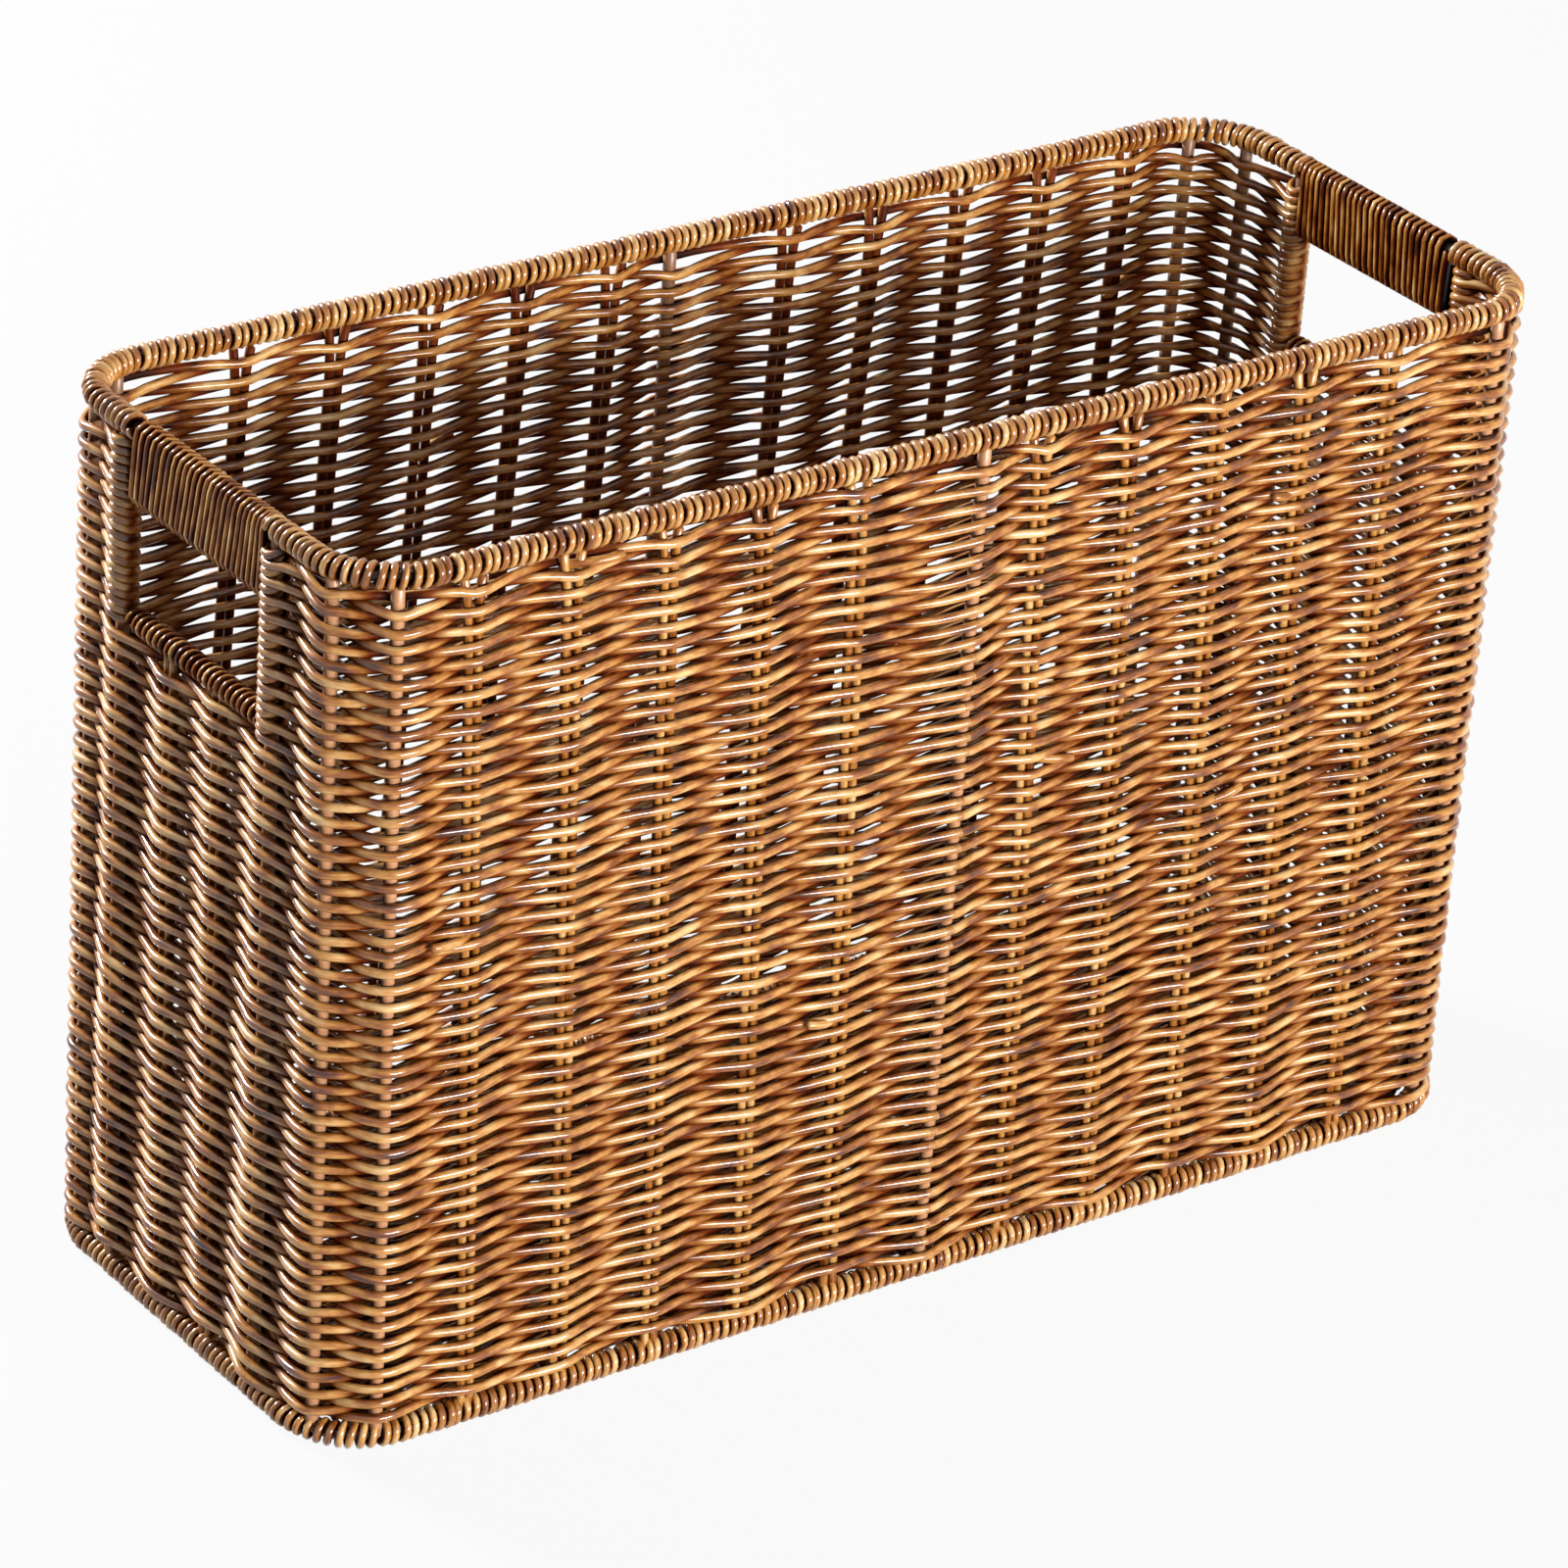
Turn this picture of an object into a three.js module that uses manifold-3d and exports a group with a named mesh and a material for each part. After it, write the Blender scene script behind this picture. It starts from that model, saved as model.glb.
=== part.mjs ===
// Magazine basket: an oblong basket twined from resin strands over paired stakes and a wire frame, with
// whipped top and bottom rims and a whipped hand hole in each end.
// Millimetres, +Z up. The long sides run along X, the front faces -Y, and the origin is on the floor
// under the middle of the basket.
import * as THREE from "three";
import { mergeVertices } from "three/addons/utils/BufferGeometryUtils.js";
import Module from "manifold-3d";

const wasm = await Module();
wasm.setup();

// Driving dimensions: the outside of the basket
const LENGTH = 424;
const WIDTH = 165;
const HEIGHT = 280;
const CORNER_RADIUS = 28.5;

// Diameters of wires, posts, stakes and strands, and the gap between pieces that touch
const FRAME_WIRE = 3.6;
const POST = 4.2;
const STAKE = 3;
const PAIR_SPACING = 2.8;
const STRAND = 2.5;
const CLEARANCE = 0.3;
const CUT_OVERRUN = 2;

// Woven sheet: thickness over a rib, in the groove between two ribs, and midway between two stakes
const WEAVE_CROWN = 8.2;
const WEAVE_GROOVE = 5.8;
const PAIR_GROOVE = 4.8;
const WEAVE_VALLEY = 3.8;
const CORE_OVERLAP = 1;
const WALL_COURSES = 50;
const COURSES_PER_RIB = 2;
const BASE_COURSES = 28;
const BASE_RISE = 2;
const BARE_STAKE = 2.4;

// Hand hole in each end: its clear width, the grip band above it and the top of the sill below it
const HOLE_WIDTH = 69;
const GRIP_HEIGHT = 27.5;
const SILL_DROP = 58;
const JAMB_WRAP = 2.4;

// Whipping: turns on a grip and on a sill, and the ribs and flattened foot of the rims
const GRIP_TURNS = 22;
const SILL_TURNS = 20;
const RIB_PITCH = 15;
const RIB_DEPTH = 0.5;
const FOOT_FLAT = 0.5;

// Stakes: pairs on each half of a long side and on each end, and where the two posts stand in a bend
const PAIRS_PER_HALF = 5;
const END_PAIRS = 2;
const BEND_POST_SHARES = [1 / 4, 3 / 4];

// The twist of the courses leans stakes and posts over as they rise: how far each kind goes from foot to
// top, clockwise as seen from above, and where its foot starts
const PAIR_LEAN = { rise: 11, foot: 1 };
const END_PAIR_LEAN = { rise: 4, foot: 1 };
const CORNER_POST_LEAN = { rise: 4, foot: -2 };
const HANDLE_POST_LEAN = { rise: 2, foot: -1 };
const UPRIGHT = { rise: 0, foot: 0 };

// Facets
const WIRE_SIDES = 6;
const POST_SIDES = 8;
const STAKE_SIDES = 5;
const SLOT_END_STEPS = 3;
const TURN_SIDES = 4;
const TURN_BEND_STEPS = 3;
const CORNER_STEPS = 4;
const GAP_SAMPLES = 4;

// A whipped rim's section: six corners, each as a share of a turn and a share of the rim's radius
const RIM_CORNER_SHARES = [
  [0, 1],
  [1 / 6, 1.08],
  [2 / 6, 1.08],
  [3 / 6, 1],
  [4 / 6, 1.08],
  [5 / 6, 1.08],
];

// Sizes that follow from those above
const FULL_TURN = 2 * Math.PI;
const WIRE_RADIUS = FRAME_WIRE / 2;
const RIM_RADIUS = WIRE_RADIUS + CLEARANCE + STRAND;
const TURN_RADIUS = WIRE_RADIUS + CLEARANCE + STRAND / 2;
const RIM_HALF_DEPTH = Math.max(
  ...RIM_CORNER_SHARES.map(([turn, share]) => RIM_RADIUS * share * Math.sin(FULL_TURN * turn)),
);
const AXIS_X = LENGTH / 2 - RIM_RADIUS;
const AXIS_Y = WIDTH / 2 - RIM_RADIUS;
const BEND = CORNER_RADIUS - RIM_RADIUS;
const BEND_X = AXIS_X - BEND;
const BEND_Y = AXIS_Y - BEND;
const TOP_AXIS_Z = HEIGHT - RIM_HALF_DEPTH;
const FOOT_AXIS_Z = RIM_HALF_DEPTH - FOOT_FLAT;
const STAKE_BOTTOM = FOOT_AXIS_Z + RIM_HALF_DEPTH + CLEARANCE;
const STAKE_TOP = TOP_AXIS_Z - RIM_HALF_DEPTH - CLEARANCE;
const WEAVE_TOP = STAKE_TOP + CLEARANCE - BARE_STAKE;
const WALL_RIBS = Math.round(WALL_COURSES / COURSES_PER_RIB);
const WALL_RIB_RISE = (WEAVE_TOP - STAKE_BOTTOM) / WALL_RIBS;
const SILL_AXIS_Z = HEIGHT - SILL_DROP - RIM_RADIUS;
const END_STAKE_TOP = SILL_AXIS_Z - RIM_RADIUS - CLEARANCE;
const END_RIBS = Math.floor((END_STAKE_TOP - STAKE_BOTTOM) / WALL_RIB_RISE);
const JAMB_Y = HOLE_WIDTH / 2;
const HANDLE_POST_Y = JAMB_Y + JAMB_WRAP + POST / 2;
const BETWEEN_JAMBS = HOLE_WIDTH - 2 * CLEARANCE;
const GRIP_FOOT_Z = HEIGHT - GRIP_HEIGHT + RIM_RADIUS;
const GRIP_HALF_RISE = (TOP_AXIS_Z - GRIP_FOOT_Z) / 2;

// Colours and finishes
const finish = (color, roughness, metalness) => () =>
  new THREE.MeshStandardMaterial({ color, roughness, metalness });
const wovenLook = finish("#b27632", 0.42, 0);
const whippedLook = finish("#c28a45", 0.38, 0);
const stakeLook = finish("#8d5523", 0.45, 0);
const postLook = finish("#b98a70", 0.4, 0.1);
const wireLook = finish("#4a3a2e", 0.5, 0.8);

function namedMesh(name, geometry, look) {
  const mesh = new THREE.Mesh(geometry, look());
  mesh.name = name;
  return mesh;
}

// Booleans
function toSolid(geometry) {
  const bare = geometry.clone();
  bare.deleteAttribute("normal");
  bare.deleteAttribute("uv");
  const merged = mergeVertices(bare);
  return new wasm.Manifold(
    new wasm.Mesh({
      numProp: 3,
      vertProperties: merged.attributes.position.array,
      triVerts: new Uint32Array(merged.index.array),
    }),
  );
}

function fromSolid(solid) {
  const mesh = solid.getMesh();
  return new THREE.BufferGeometry()
    .setAttribute("position", new THREE.BufferAttribute(mesh.vertProperties, 3))
    .setIndex(new THREE.BufferAttribute(mesh.triVerts, 1));
}

const cutAll = (solid, cutters) =>
  fromSolid(cutters.reduce((left, cutter) => left.subtract(toSolid(cutter)), solid));

// A place on a plan line: a point and the direction that faces out of the basket there. Lines are walked
// clockwise as seen from above, so that out, up and the way forward are right-handed axes.
const place = (x, y, outTurn) => ({
  x,
  y,
  out: new THREE.Vector2(Math.cos(FULL_TURN * outTurn), Math.sin(FULL_TURN * outTurn)),
});

// A point of a section, given as a step outwards and a height, carried to a place
const carry = ({ x, y, out }, [outward, up]) =>
  new THREE.Vector3(x + out.x * outward, y + out.y * outward, up);

// A closed body through rings of points. A run with two ends is capped by its section's triangles.
function loft(rings, endSection) {
  const count = rings[0].length;
  const spans = endSection ? rings.length - 1 : rings.length;
  const index = [];
  for (let k = 0; k < spans; k++) {
    const here = k * count;
    const next = ((k + 1) % rings.length) * count;
    for (let j = 0; j < count; j++) {
      const after = (j + 1) % count;
      index.push(here + j, here + after, next + after);
      index.push(here + j, next + after, next + j);
    }
  }
  if (endSection) {
    const outline = endSection.map(([outward, up]) => new THREE.Vector2(outward, up));
    const last = (rings.length - 1) * count;
    for (const [a, b, c] of THREE.ShapeUtils.triangulateShape(outline, [])) {
      index.push(c, b, a);
      index.push(last + a, last + b, last + c);
    }
  }
  const positions = rings.flat().flatMap((point) => point.toArray());
  return new THREE.BufferGeometry()
    .setAttribute("position", new THREE.Float32BufferAttribute(positions, 3))
    .setIndex(index);
}

const sweep = (places, section) =>
  loft(
    places.map((spot) => section.map((point) => carry(spot, point))),
    section,
  );

const roundSection = (radius, sides, centreUp) =>
  Array.from({ length: sides }, (_, j) => {
    const angle = (FULL_TURN * j) / sides;
    return [radius * Math.cos(angle), centreUp + radius * Math.sin(angle)];
  });

// The plan line turns a quarter at each corner. The signs name the corner.
const cornerStartTurn = (signX, signY) => {
  if (signX < 0) return signY < 0 ? 3 / 4 : 1 / 2;
  return signY < 0 ? 1 : 1 / 4;
};

function bendPlace(signX, signY, share) {
  const turn = cornerStartTurn(signX, signY) - share / 4;
  return place(
    signX * BEND_X + BEND * Math.cos(FULL_TURN * turn),
    signY * BEND_Y + BEND * Math.sin(FULL_TURN * turn),
    turn,
  );
}

const bendPlaces = (signX, signY) =>
  Array.from({ length: CORNER_STEPS + 1 }, (_, k) => bendPlace(signX, signY, k / CORNER_STEPS));

const BACK_TO_BACK = [
  [1, 1],
  [1, -1],
  [-1, -1],
  [-1, 1],
];

// A ring all the way round, of a round wire or of the bore that a wire lies in
const wireRing = (radius, centreUp) => {
  const places = BACK_TO_BACK.flatMap(([signX, signY]) => bendPlaces(signX, signY));
  const section = roundSection(radius, WIRE_SIDES, centreUp);
  return loft(places.map((spot) => section.map((point) => carry(spot, point))));
};

// Upright pieces: an outline on the floor plan, raised between two heights
const upright = (outline, bottom, top) =>
  new THREE.ExtrudeGeometry(new THREE.Shape(outline), {
    depth: top - bottom,
    bevelEnabled: false,
  }).translate(0, 0, bottom);

const roundOutline = (radius) =>
  Array.from({ length: POST_SIDES }, (_, j) => {
    const angle = (FULL_TURN * j) / POST_SIDES;
    return new THREE.Vector2(radius * Math.cos(angle), radius * Math.sin(angle));
  });

// Two round stakes that lie side by side along X and just run into each other
function pairOutline() {
  const radius = STAKE / 2;
  const half = PAIR_SPACING / 2;
  const waist = Math.acos(half / radius);
  return [-1, 1].flatMap((side) =>
    Array.from({ length: STAKE_SIDES }, (_, j) => {
      const angle = waist + ((FULL_TURN - 2 * waist) * j) / STAKE_SIDES;
      return new THREE.Vector2(side * (half - radius * Math.cos(angle)), -side * radius * Math.sin(angle));
    }),
  );
}

// The slot in the weave that a pair of stakes stands in, its flats clear of the round stakes
function slotOutline() {
  const radius = (STAKE / 2 + CLEARANCE) / Math.cos(Math.PI / SLOT_END_STEPS / 2);
  return [1, -1].flatMap((side) =>
    Array.from({ length: SLOT_END_STEPS + 1 }, (_, j) => {
      const angle = (Math.PI * j) / SLOT_END_STEPS - (side * Math.PI) / 2;
      return new THREE.Vector2(
        (side * PAIR_SPACING) / 2 + radius * Math.cos(angle),
        radius * Math.sin(angle),
      );
    }),
  );
}

// Stands an upright piece at a place, turned to face out and leant over along the wall
function stand(geometry, { x, y, out }, { rise, foot }) {
  const lean = new THREE.Matrix4();
  lean.elements[8] = (out.y * rise) / HEIGHT;
  lean.elements[9] = (-out.x * rise) / HEIGHT;
  return geometry
    .rotateZ(Math.atan2(out.x, -out.y))
    .applyMatrix4(lean)
    .translate(x + out.y * foot, y - out.x * foot, 0);
}

const postAt = (spot, lean) => stand(upright(roundOutline(POST / 2), STAKE_BOTTOM, STAKE_TOP), spot, lean);
const pairAt = (spot, lean, top) => stand(upright(pairOutline(), STAKE_BOTTOM, top), spot, lean);
const cutUp = (outline) => upright(outline, STAKE_BOTTOM - CUT_OVERRUN, WEAVE_TOP + CUT_OVERRUN);
const postBoreAt = (spot, lean) => stand(cutUp(roundOutline(POST / 2 + CLEARANCE)), spot, lean);
const pairSlotAt = (spot, lean) => stand(cutUp(slotOutline()), spot, lean);

// Woven sheet in section: one rib for each two courses, outside and, where it is ribbed inside, there too
function weaveSection(top, ribs, ribbedInside) {
  const groove = WEAVE_GROOVE / 2;
  const crown = WEAVE_CROWN / 2;
  const outside = [[groove, STAKE_BOTTOM]];
  for (let k = 0; k < ribs; k++) {
    outside.push([crown, STAKE_BOTTOM + (k + 1 / 2) * WALL_RIB_RISE]);
    outside.push([groove, STAKE_BOTTOM + (k + 1) * WALL_RIB_RISE]);
  }
  outside[outside.length - 1][1] = top;
  if (ribbedInside) {
    const flat = [
      [CORE_OVERLAP, STAKE_BOTTOM],
      [CORE_OVERLAP, top],
    ];
    return [...flat, ...outside.map(([outward, up]) => [-outward, up]).reverse()];
  }
  const plain = (groove + crown) / 2;
  return [...outside, [-plain, top], [-plain, STAKE_BOTTOM]];
}

// Whipped rims: a tube with a bore for its wire and a rib for every few turns of the strand.
// The foot rim is flattened where it stands on the floor.
function rimPath(start, corners, end) {
  const path = new THREE.Path().moveTo(start.x, start.y);
  for (const [signX, signY] of corners) {
    const from = bendPlace(signX, signY, 0);
    const angle = FULL_TURN * cornerStartTurn(signX, signY);
    path.lineTo(from.x, from.y);
    path.absarc(signX * BEND_X, signY * BEND_Y, BEND, angle, angle - FULL_TURN / 4, true);
  }
  return path.lineTo(end.x, end.y);
}

function rimPlaceOn(path, share) {
  const { x, y } = path.getPoint(share);
  const forward = path.getTangent(share);
  return place(x, y, Math.atan2(forward.x, -forward.y) / FULL_TURN);
}

function whippedRim(path, axisZ, bore) {
  const ribs = Math.round(path.getLength() / RIB_PITCH);
  const rings = Array.from({ length: 2 * ribs + 1 }, (_, k) => {
    const spot = rimPlaceOn(path, k / ribs / 2);
    const radius = k % 2 ? RIM_RADIUS : RIM_RADIUS - RIB_DEPTH;
    return RIM_CORNER_SHARES.map(([turn, share]) => {
      const outward = radius * share * Math.cos(FULL_TURN * turn);
      const up = axisZ + radius * share * Math.sin(FULL_TURN * turn);
      return carry(spot, [outward, Math.max(up, 0)]);
    });
  });
  return cutAll(toSolid(loft(rings, roundSection(1, RIM_CORNER_SHARES.length, 0))), [bore]);
}

function topBinding() {
  const path = rimPath(
    new THREE.Vector2(AXIS_X, -JAMB_Y),
    [
      [1, -1],
      [-1, -1],
    ],
    new THREE.Vector2(-AXIS_X, -JAMB_Y),
  );
  return whippedRim(path, TOP_AXIS_Z, wireRing(WIRE_RADIUS + CLEARANCE, TOP_AXIS_Z));
}

// The foot rim's strand starts and ends at a seam in the middle of the back
function footBinding() {
  const path = rimPath(
    new THREE.Vector2(CLEARANCE / 2, AXIS_Y),
    BACK_TO_BACK,
    new THREE.Vector2(-CLEARANCE / 2, AXIS_Y),
  );
  return whippedRim(path, FOOT_AXIS_Z, wireRing(WIRE_RADIUS + CLEARANCE, FOOT_AXIS_Z));
}

// A strand wound round two wires, or round one where halfRise is zero. It starts on the outer side, ends
// on the inner side, and a tail runs straight down to tailUp at both ends.
function windingStops(turns, halfRise, tailUp) {
  const bend = Math.PI * TURN_RADIUS;
  const halfTurn = bend + 2 * halfRise;
  const whole = 2 * turns * halfTurn + bend + 2 * halfRise;
  const stops = [{ outward: TURN_RADIUS, up: tailUp, angle: 0, share: 0 }];
  for (let half = 0; half <= 2 * turns; half++) {
    const below = half % 2;
    const firstStep = half === 0 || halfRise > 0 ? 0 : 1;
    for (let k = firstStep; k <= TURN_BEND_STEPS; k++) {
      const angle = Math.PI * (below + k / TURN_BEND_STEPS);
      stops.push({
        outward: TURN_RADIUS * Math.cos(angle),
        up: (below ? -halfRise : halfRise) + TURN_RADIUS * Math.sin(angle),
        angle,
        share: (halfRise + half * halfTurn + (bend * k) / TURN_BEND_STEPS) / whole,
      });
    }
  }
  stops.push({ outward: -TURN_RADIUS, up: tailUp, angle: Math.PI, share: 1 });
  return stops;
}

// The least gap between a winding's turns, measured between points along its centre line
function leastGap(centres, name) {
  const points = centres.flatMap((from, k) => {
    const to = centres[k + 1] ?? from;
    return Array.from({ length: GAP_SAMPLES }, (_, j) => from.clone().lerp(to, j / GAP_SAMPLES));
  });
  const lengths = [0];
  for (let k = 1; k < points.length; k++)
    lengths.push(lengths[k - 1] + points[k].distanceTo(points[k - 1]));
  let least = Infinity;
  for (let i = 0; i < points.length; i++)
    for (let j = i + 1; j < points.length; j++)
      if (lengths[j] - lengths[i] > Math.PI * STRAND)
        least = Math.min(least, points[i].distanceTo(points[j]) - STRAND);
  console.log(`${name}: least gap between turns ${least.toFixed(2)} mm`);
}

function winding(name, turns, axisZ, halfRise, tailUp) {
  const span = BETWEEN_JAMBS - STRAND;
  const stops = windingStops(turns, halfRise, tailUp);
  const centres = stops.map(({ outward, up, share }) =>
    carry(place(-AXIS_X, span * (share - 1 / 2), 1 / 2), [outward, axisZ + up]),
  );
  leastGap(centres, name);
  const rings = centres.map((centre, k) => {
    const before = centres[Math.max(k - 1, 0)];
    const after = centres[Math.min(k + 1, centres.length - 1)];
    const forward = after.clone().sub(before).normalize();
    const { angle } = stops[k];
    const outwards = new THREE.Vector3(-Math.cos(angle), 0, Math.sin(angle));
    const sideways = forward.clone().cross(outwards).normalize();
    const away = sideways.clone().cross(forward);
    return roundSection(STRAND / 2, TURN_SIDES, 0).map(([a, b]) =>
      centre.clone().addScaledVector(away, a).addScaledVector(sideways, b),
    );
  });
  return loft(rings, roundSection(1, TURN_SIDES, 0));
}

// Bars that cross the left end between the jambs
const barPlaces = [-1, 1].map((sign) => place(-AXIS_X, (sign * BETWEEN_JAMBS) / 2, 1 / 2));
const sillWire = () => sweep(barPlaces, roundSection(WIRE_RADIUS, WIRE_SIDES, SILL_AXIS_Z));

// A flat core under the top ring wire, with a round lower edge that fills the grip
function gripCore() {
  const head = TOP_AXIS_Z - WIRE_RADIUS - CLEARANCE;
  const foot = Array.from({ length: TURN_BEND_STEPS + 1 }, (_, k) => {
    const angle = Math.PI * (1 + k / TURN_BEND_STEPS);
    return [WIRE_RADIUS * Math.cos(angle), GRIP_FOOT_Z + WIRE_RADIUS * Math.sin(angle)];
  });
  return sweep(barPlaces, [[WIRE_RADIUS, head], [-WIRE_RADIUS, head], ...foot]);
}

// The long wall in front, with its stakes
const cornerPostPlaces = BEND_POST_SHARES.map((share) => bendPlace(-1, -1, share));
const longPitch = -cornerPostPlaces[0].x / (PAIRS_PER_HALF + 1);
const frontMiddle = place(0, -AXIS_Y, 3 / 4);
const longPairPlaces = [-1, 1].flatMap((side) =>
  Array.from({ length: PAIRS_PER_HALF }, (_, k) => {
    const step = side < 0 ? PAIRS_PER_HALF - k : k + 1;
    return place(side * step * longPitch, -AXIS_Y, 3 / 4);
  }),
);

// Its outer half in columns, by turns over a stake or post, where every rib swells, and midway to the next,
// where the ribs run out. A column leans with the stakes beside it.
function wallColumns() {
  const end = { x: BEND_X - CLEARANCE, groove: WEAVE_GROOVE, lean: UPRIGHT };
  const pairs = longPairPlaces.map(({ x }) => ({ x, groove: PAIR_GROOVE, lean: PAIR_LEAN }));
  const middle = { x: frontMiddle.x, groove: WEAVE_GROOVE, lean: UPRIGHT };
  const crests = [{ ...end, x: -end.x }, ...pairs, middle, end].sort((a, b) => a.x - b.x);
  return crests.flatMap((crest, k) => {
    const next = crests[k + 1];
    if (!next) return [crest];
    const rise = (crest.lean.rise + next.lean.rise) / 2;
    const foot = (crest.lean.foot + next.lean.foot) / 2;
    return [crest, { x: (crest.x + next.x) / 2, lean: { rise, foot } }];
  });
}

function columnPoints({ x, groove, lean }) {
  const at = (outward, up) =>
    carry(place(x - lean.foot - (lean.rise * up) / HEIGHT, -AXIS_Y, 3 / 4), [outward, up]);
  const between = Array.from({ length: WALL_RIBS + 1 }, (_, k) =>
    at((groove ?? WEAVE_VALLEY) / 2, STAKE_BOTTOM + k * WALL_RIB_RISE),
  );
  const crowns = Array.from({ length: groove ? WALL_RIBS : 0 }, (_, k) =>
    at(WEAVE_CROWN / 2, STAKE_BOTTOM + (k + 1 / 2) * WALL_RIB_RISE),
  );
  return { between, crowns, foot: at(-CORE_OVERLAP, STAKE_BOTTOM), head: at(-CORE_OVERLAP, WEAVE_TOP) };
}

function wallFace() {
  const columns = wallColumns().map(columnPoints);
  const faces = [];
  for (let c = 0; c + 1 < columns.length; c++) {
    const left = columns[c];
    const right = columns[c + 1];
    for (let k = 0; k < WALL_RIBS; k++) {
      const crown = left.crowns[k] ?? right.crowns[k];
      const [a, b] = [left.between[k], right.between[k]];
      const [d, e] = [right.between[k + 1], left.between[k + 1]];
      if (left.crowns[k]) faces.push([a, b, crown], [crown, b, d], [crown, d, e]);
      else faces.push([a, b, crown], [a, crown, e], [e, crown, d]);
    }
    const [leftTop, rightTop] = [left.between[WALL_RIBS], right.between[WALL_RIBS]];
    faces.push([right.foot, left.foot, left.head], [right.foot, left.head, right.head]);
    faces.push([leftTop, rightTop, right.head], [leftTop, right.head, left.head]);
    faces.push([left.between[0], left.foot, right.foot], [left.between[0], right.foot, right.between[0]]);
  }
  for (const [column, flip] of [
    [columns[0], false],
    [columns[columns.length - 1], true],
  ]) {
    const cap = column.crowns.flatMap((crown, k) => [
      [column.between[k], crown, column.between[k + 1]],
      [column.between[k], column.between[k + 1], column.foot],
    ]);
    cap.push([column.between[WALL_RIBS], column.head, column.foot]);
    faces.push(...cap.map((face) => (flip ? face.reverse() : face)));
  }
  return mergeVertices(new THREE.BufferGeometry().setFromPoints(faces.flat()));
}

function longWall() {
  const ends = [1, -1].map((sign) => place(sign * (BEND_X - CLEARANCE), -AXIS_Y, 3 / 4));
  const inner = sweep(ends, weaveSection(WEAVE_TOP, WALL_RIBS, true));
  const slots = longPairPlaces.map((spot) => pairSlotAt(spot, PAIR_LEAN));
  return cutAll(toSolid(wallFace()).add(toSolid(inner)), [postBoreAt(frontMiddle, UPRIGHT), ...slots]);
}

// The front left corner: the bend and the strip beside the hand hole, which ends at the jamb
const handlePostPlace = place(-AXIS_X, -HANDLE_POST_Y, 1 / 2);

// A corner made by mirroring this one leans the other way, so its lean is turned round here first
const turned = ({ rise, foot }, way) => ({ rise: rise * way, foot: foot * way });

function cornerWall(way) {
  const places = [...bendPlaces(-1, -1), place(-AXIS_X, -JAMB_Y, 1 / 2)];
  const sheet = sweep(places, weaveSection(WEAVE_TOP, WALL_RIBS, false));
  return cutAll(toSolid(sheet), [
    ...cornerPostPlaces.map((spot) => postBoreAt(spot, turned(CORNER_POST_LEAN, way))),
    postBoreAt(handlePostPlace, turned(HANDLE_POST_LEAN, way)),
  ]);
}

// The end wall below the sill, with its stakes
const endPairPlaces = Array.from({ length: END_PAIRS }, (_, k) =>
  place(-AXIS_X, HANDLE_POST_Y * ((2 * (k + 1)) / (END_PAIRS + 1) - 1), 1 / 2),
);

function endWall() {
  const sheet = sweep(barPlaces, weaveSection(END_STAKE_TOP, END_RIBS, false));
  return cutAll(
    toSolid(sheet),
    endPairPlaces.map((spot) => pairSlotAt(spot, END_PAIR_LEAN)),
  );
}

// The woven base lies inside the foot rim, its courses running along X
function base() {
  const reach = RIM_RADIUS + CLEARANCE;
  const halfX = AXIS_X - reach;
  const halfY = AXIS_Y - reach;
  const radius = BEND - reach;
  const middleZ = FOOT_AXIS_Z + BASE_RISE;
  const pitch = (2 * halfY) / BASE_COURSES;
  const face = (side) =>
    Array.from({ length: 2 * BASE_COURSES + 1 }, (_, k) => {
      const half = (k % 2 ? WEAVE_CROWN : WEAVE_GROOVE) / 2;
      return new THREE.Vector2(side * (halfY - (k * pitch) / 2), middleZ + side * half);
    });
  const ribbed = new THREE.ExtrudeGeometry(new THREE.Shape([...face(1), ...face(-1)]), {
    depth: 2 * halfX,
    bevelEnabled: false,
  }).translate(0, 0, -halfX);
  const [alongX, alongY, alongZ] = [0, 1, 2].map((axis) => new THREE.Vector3().setComponent(axis, 1));
  ribbed.applyMatrix4(new THREE.Matrix4().makeBasis(alongY, alongZ, alongX));
  const plan = new THREE.Shape();
  for (const [signX, signY] of [...BACK_TO_BACK].reverse()) {
    const angle = FULL_TURN * (cornerStartTurn(signX, signY) - 1 / 4);
    plan.absarc(signX * (halfX - radius), signY * (halfY - radius), radius, angle, angle + FULL_TURN / 4);
  }
  const block = new THREE.ExtrudeGeometry(plan, {
    depth: 2 * (WEAVE_CROWN + CUT_OVERRUN),
    bevelEnabled: false,
    curveSegments: CORNER_STEPS,
  }).translate(0, 0, middleZ - WEAVE_CROWN - CUT_OVERRUN);
  return fromSolid(toSolid(ribbed).intersect(toSolid(block)));
}

const pairName = (side, k) => `stake_pair_${side}_${String(k + 1).padStart(2, "0")}`;

const basket = new THREE.Group();
basket.add(
  namedMesh("top_ring_wire", wireRing(WIRE_RADIUS, TOP_AXIS_Z), wireLook),
  namedMesh("foot_ring_wire", wireRing(WIRE_RADIUS, FOOT_AXIS_Z), wireLook),
  namedMesh("foot_binding", footBinding(), whippedLook),
  namedMesh("base_weave", base(), wovenLook),
);

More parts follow.
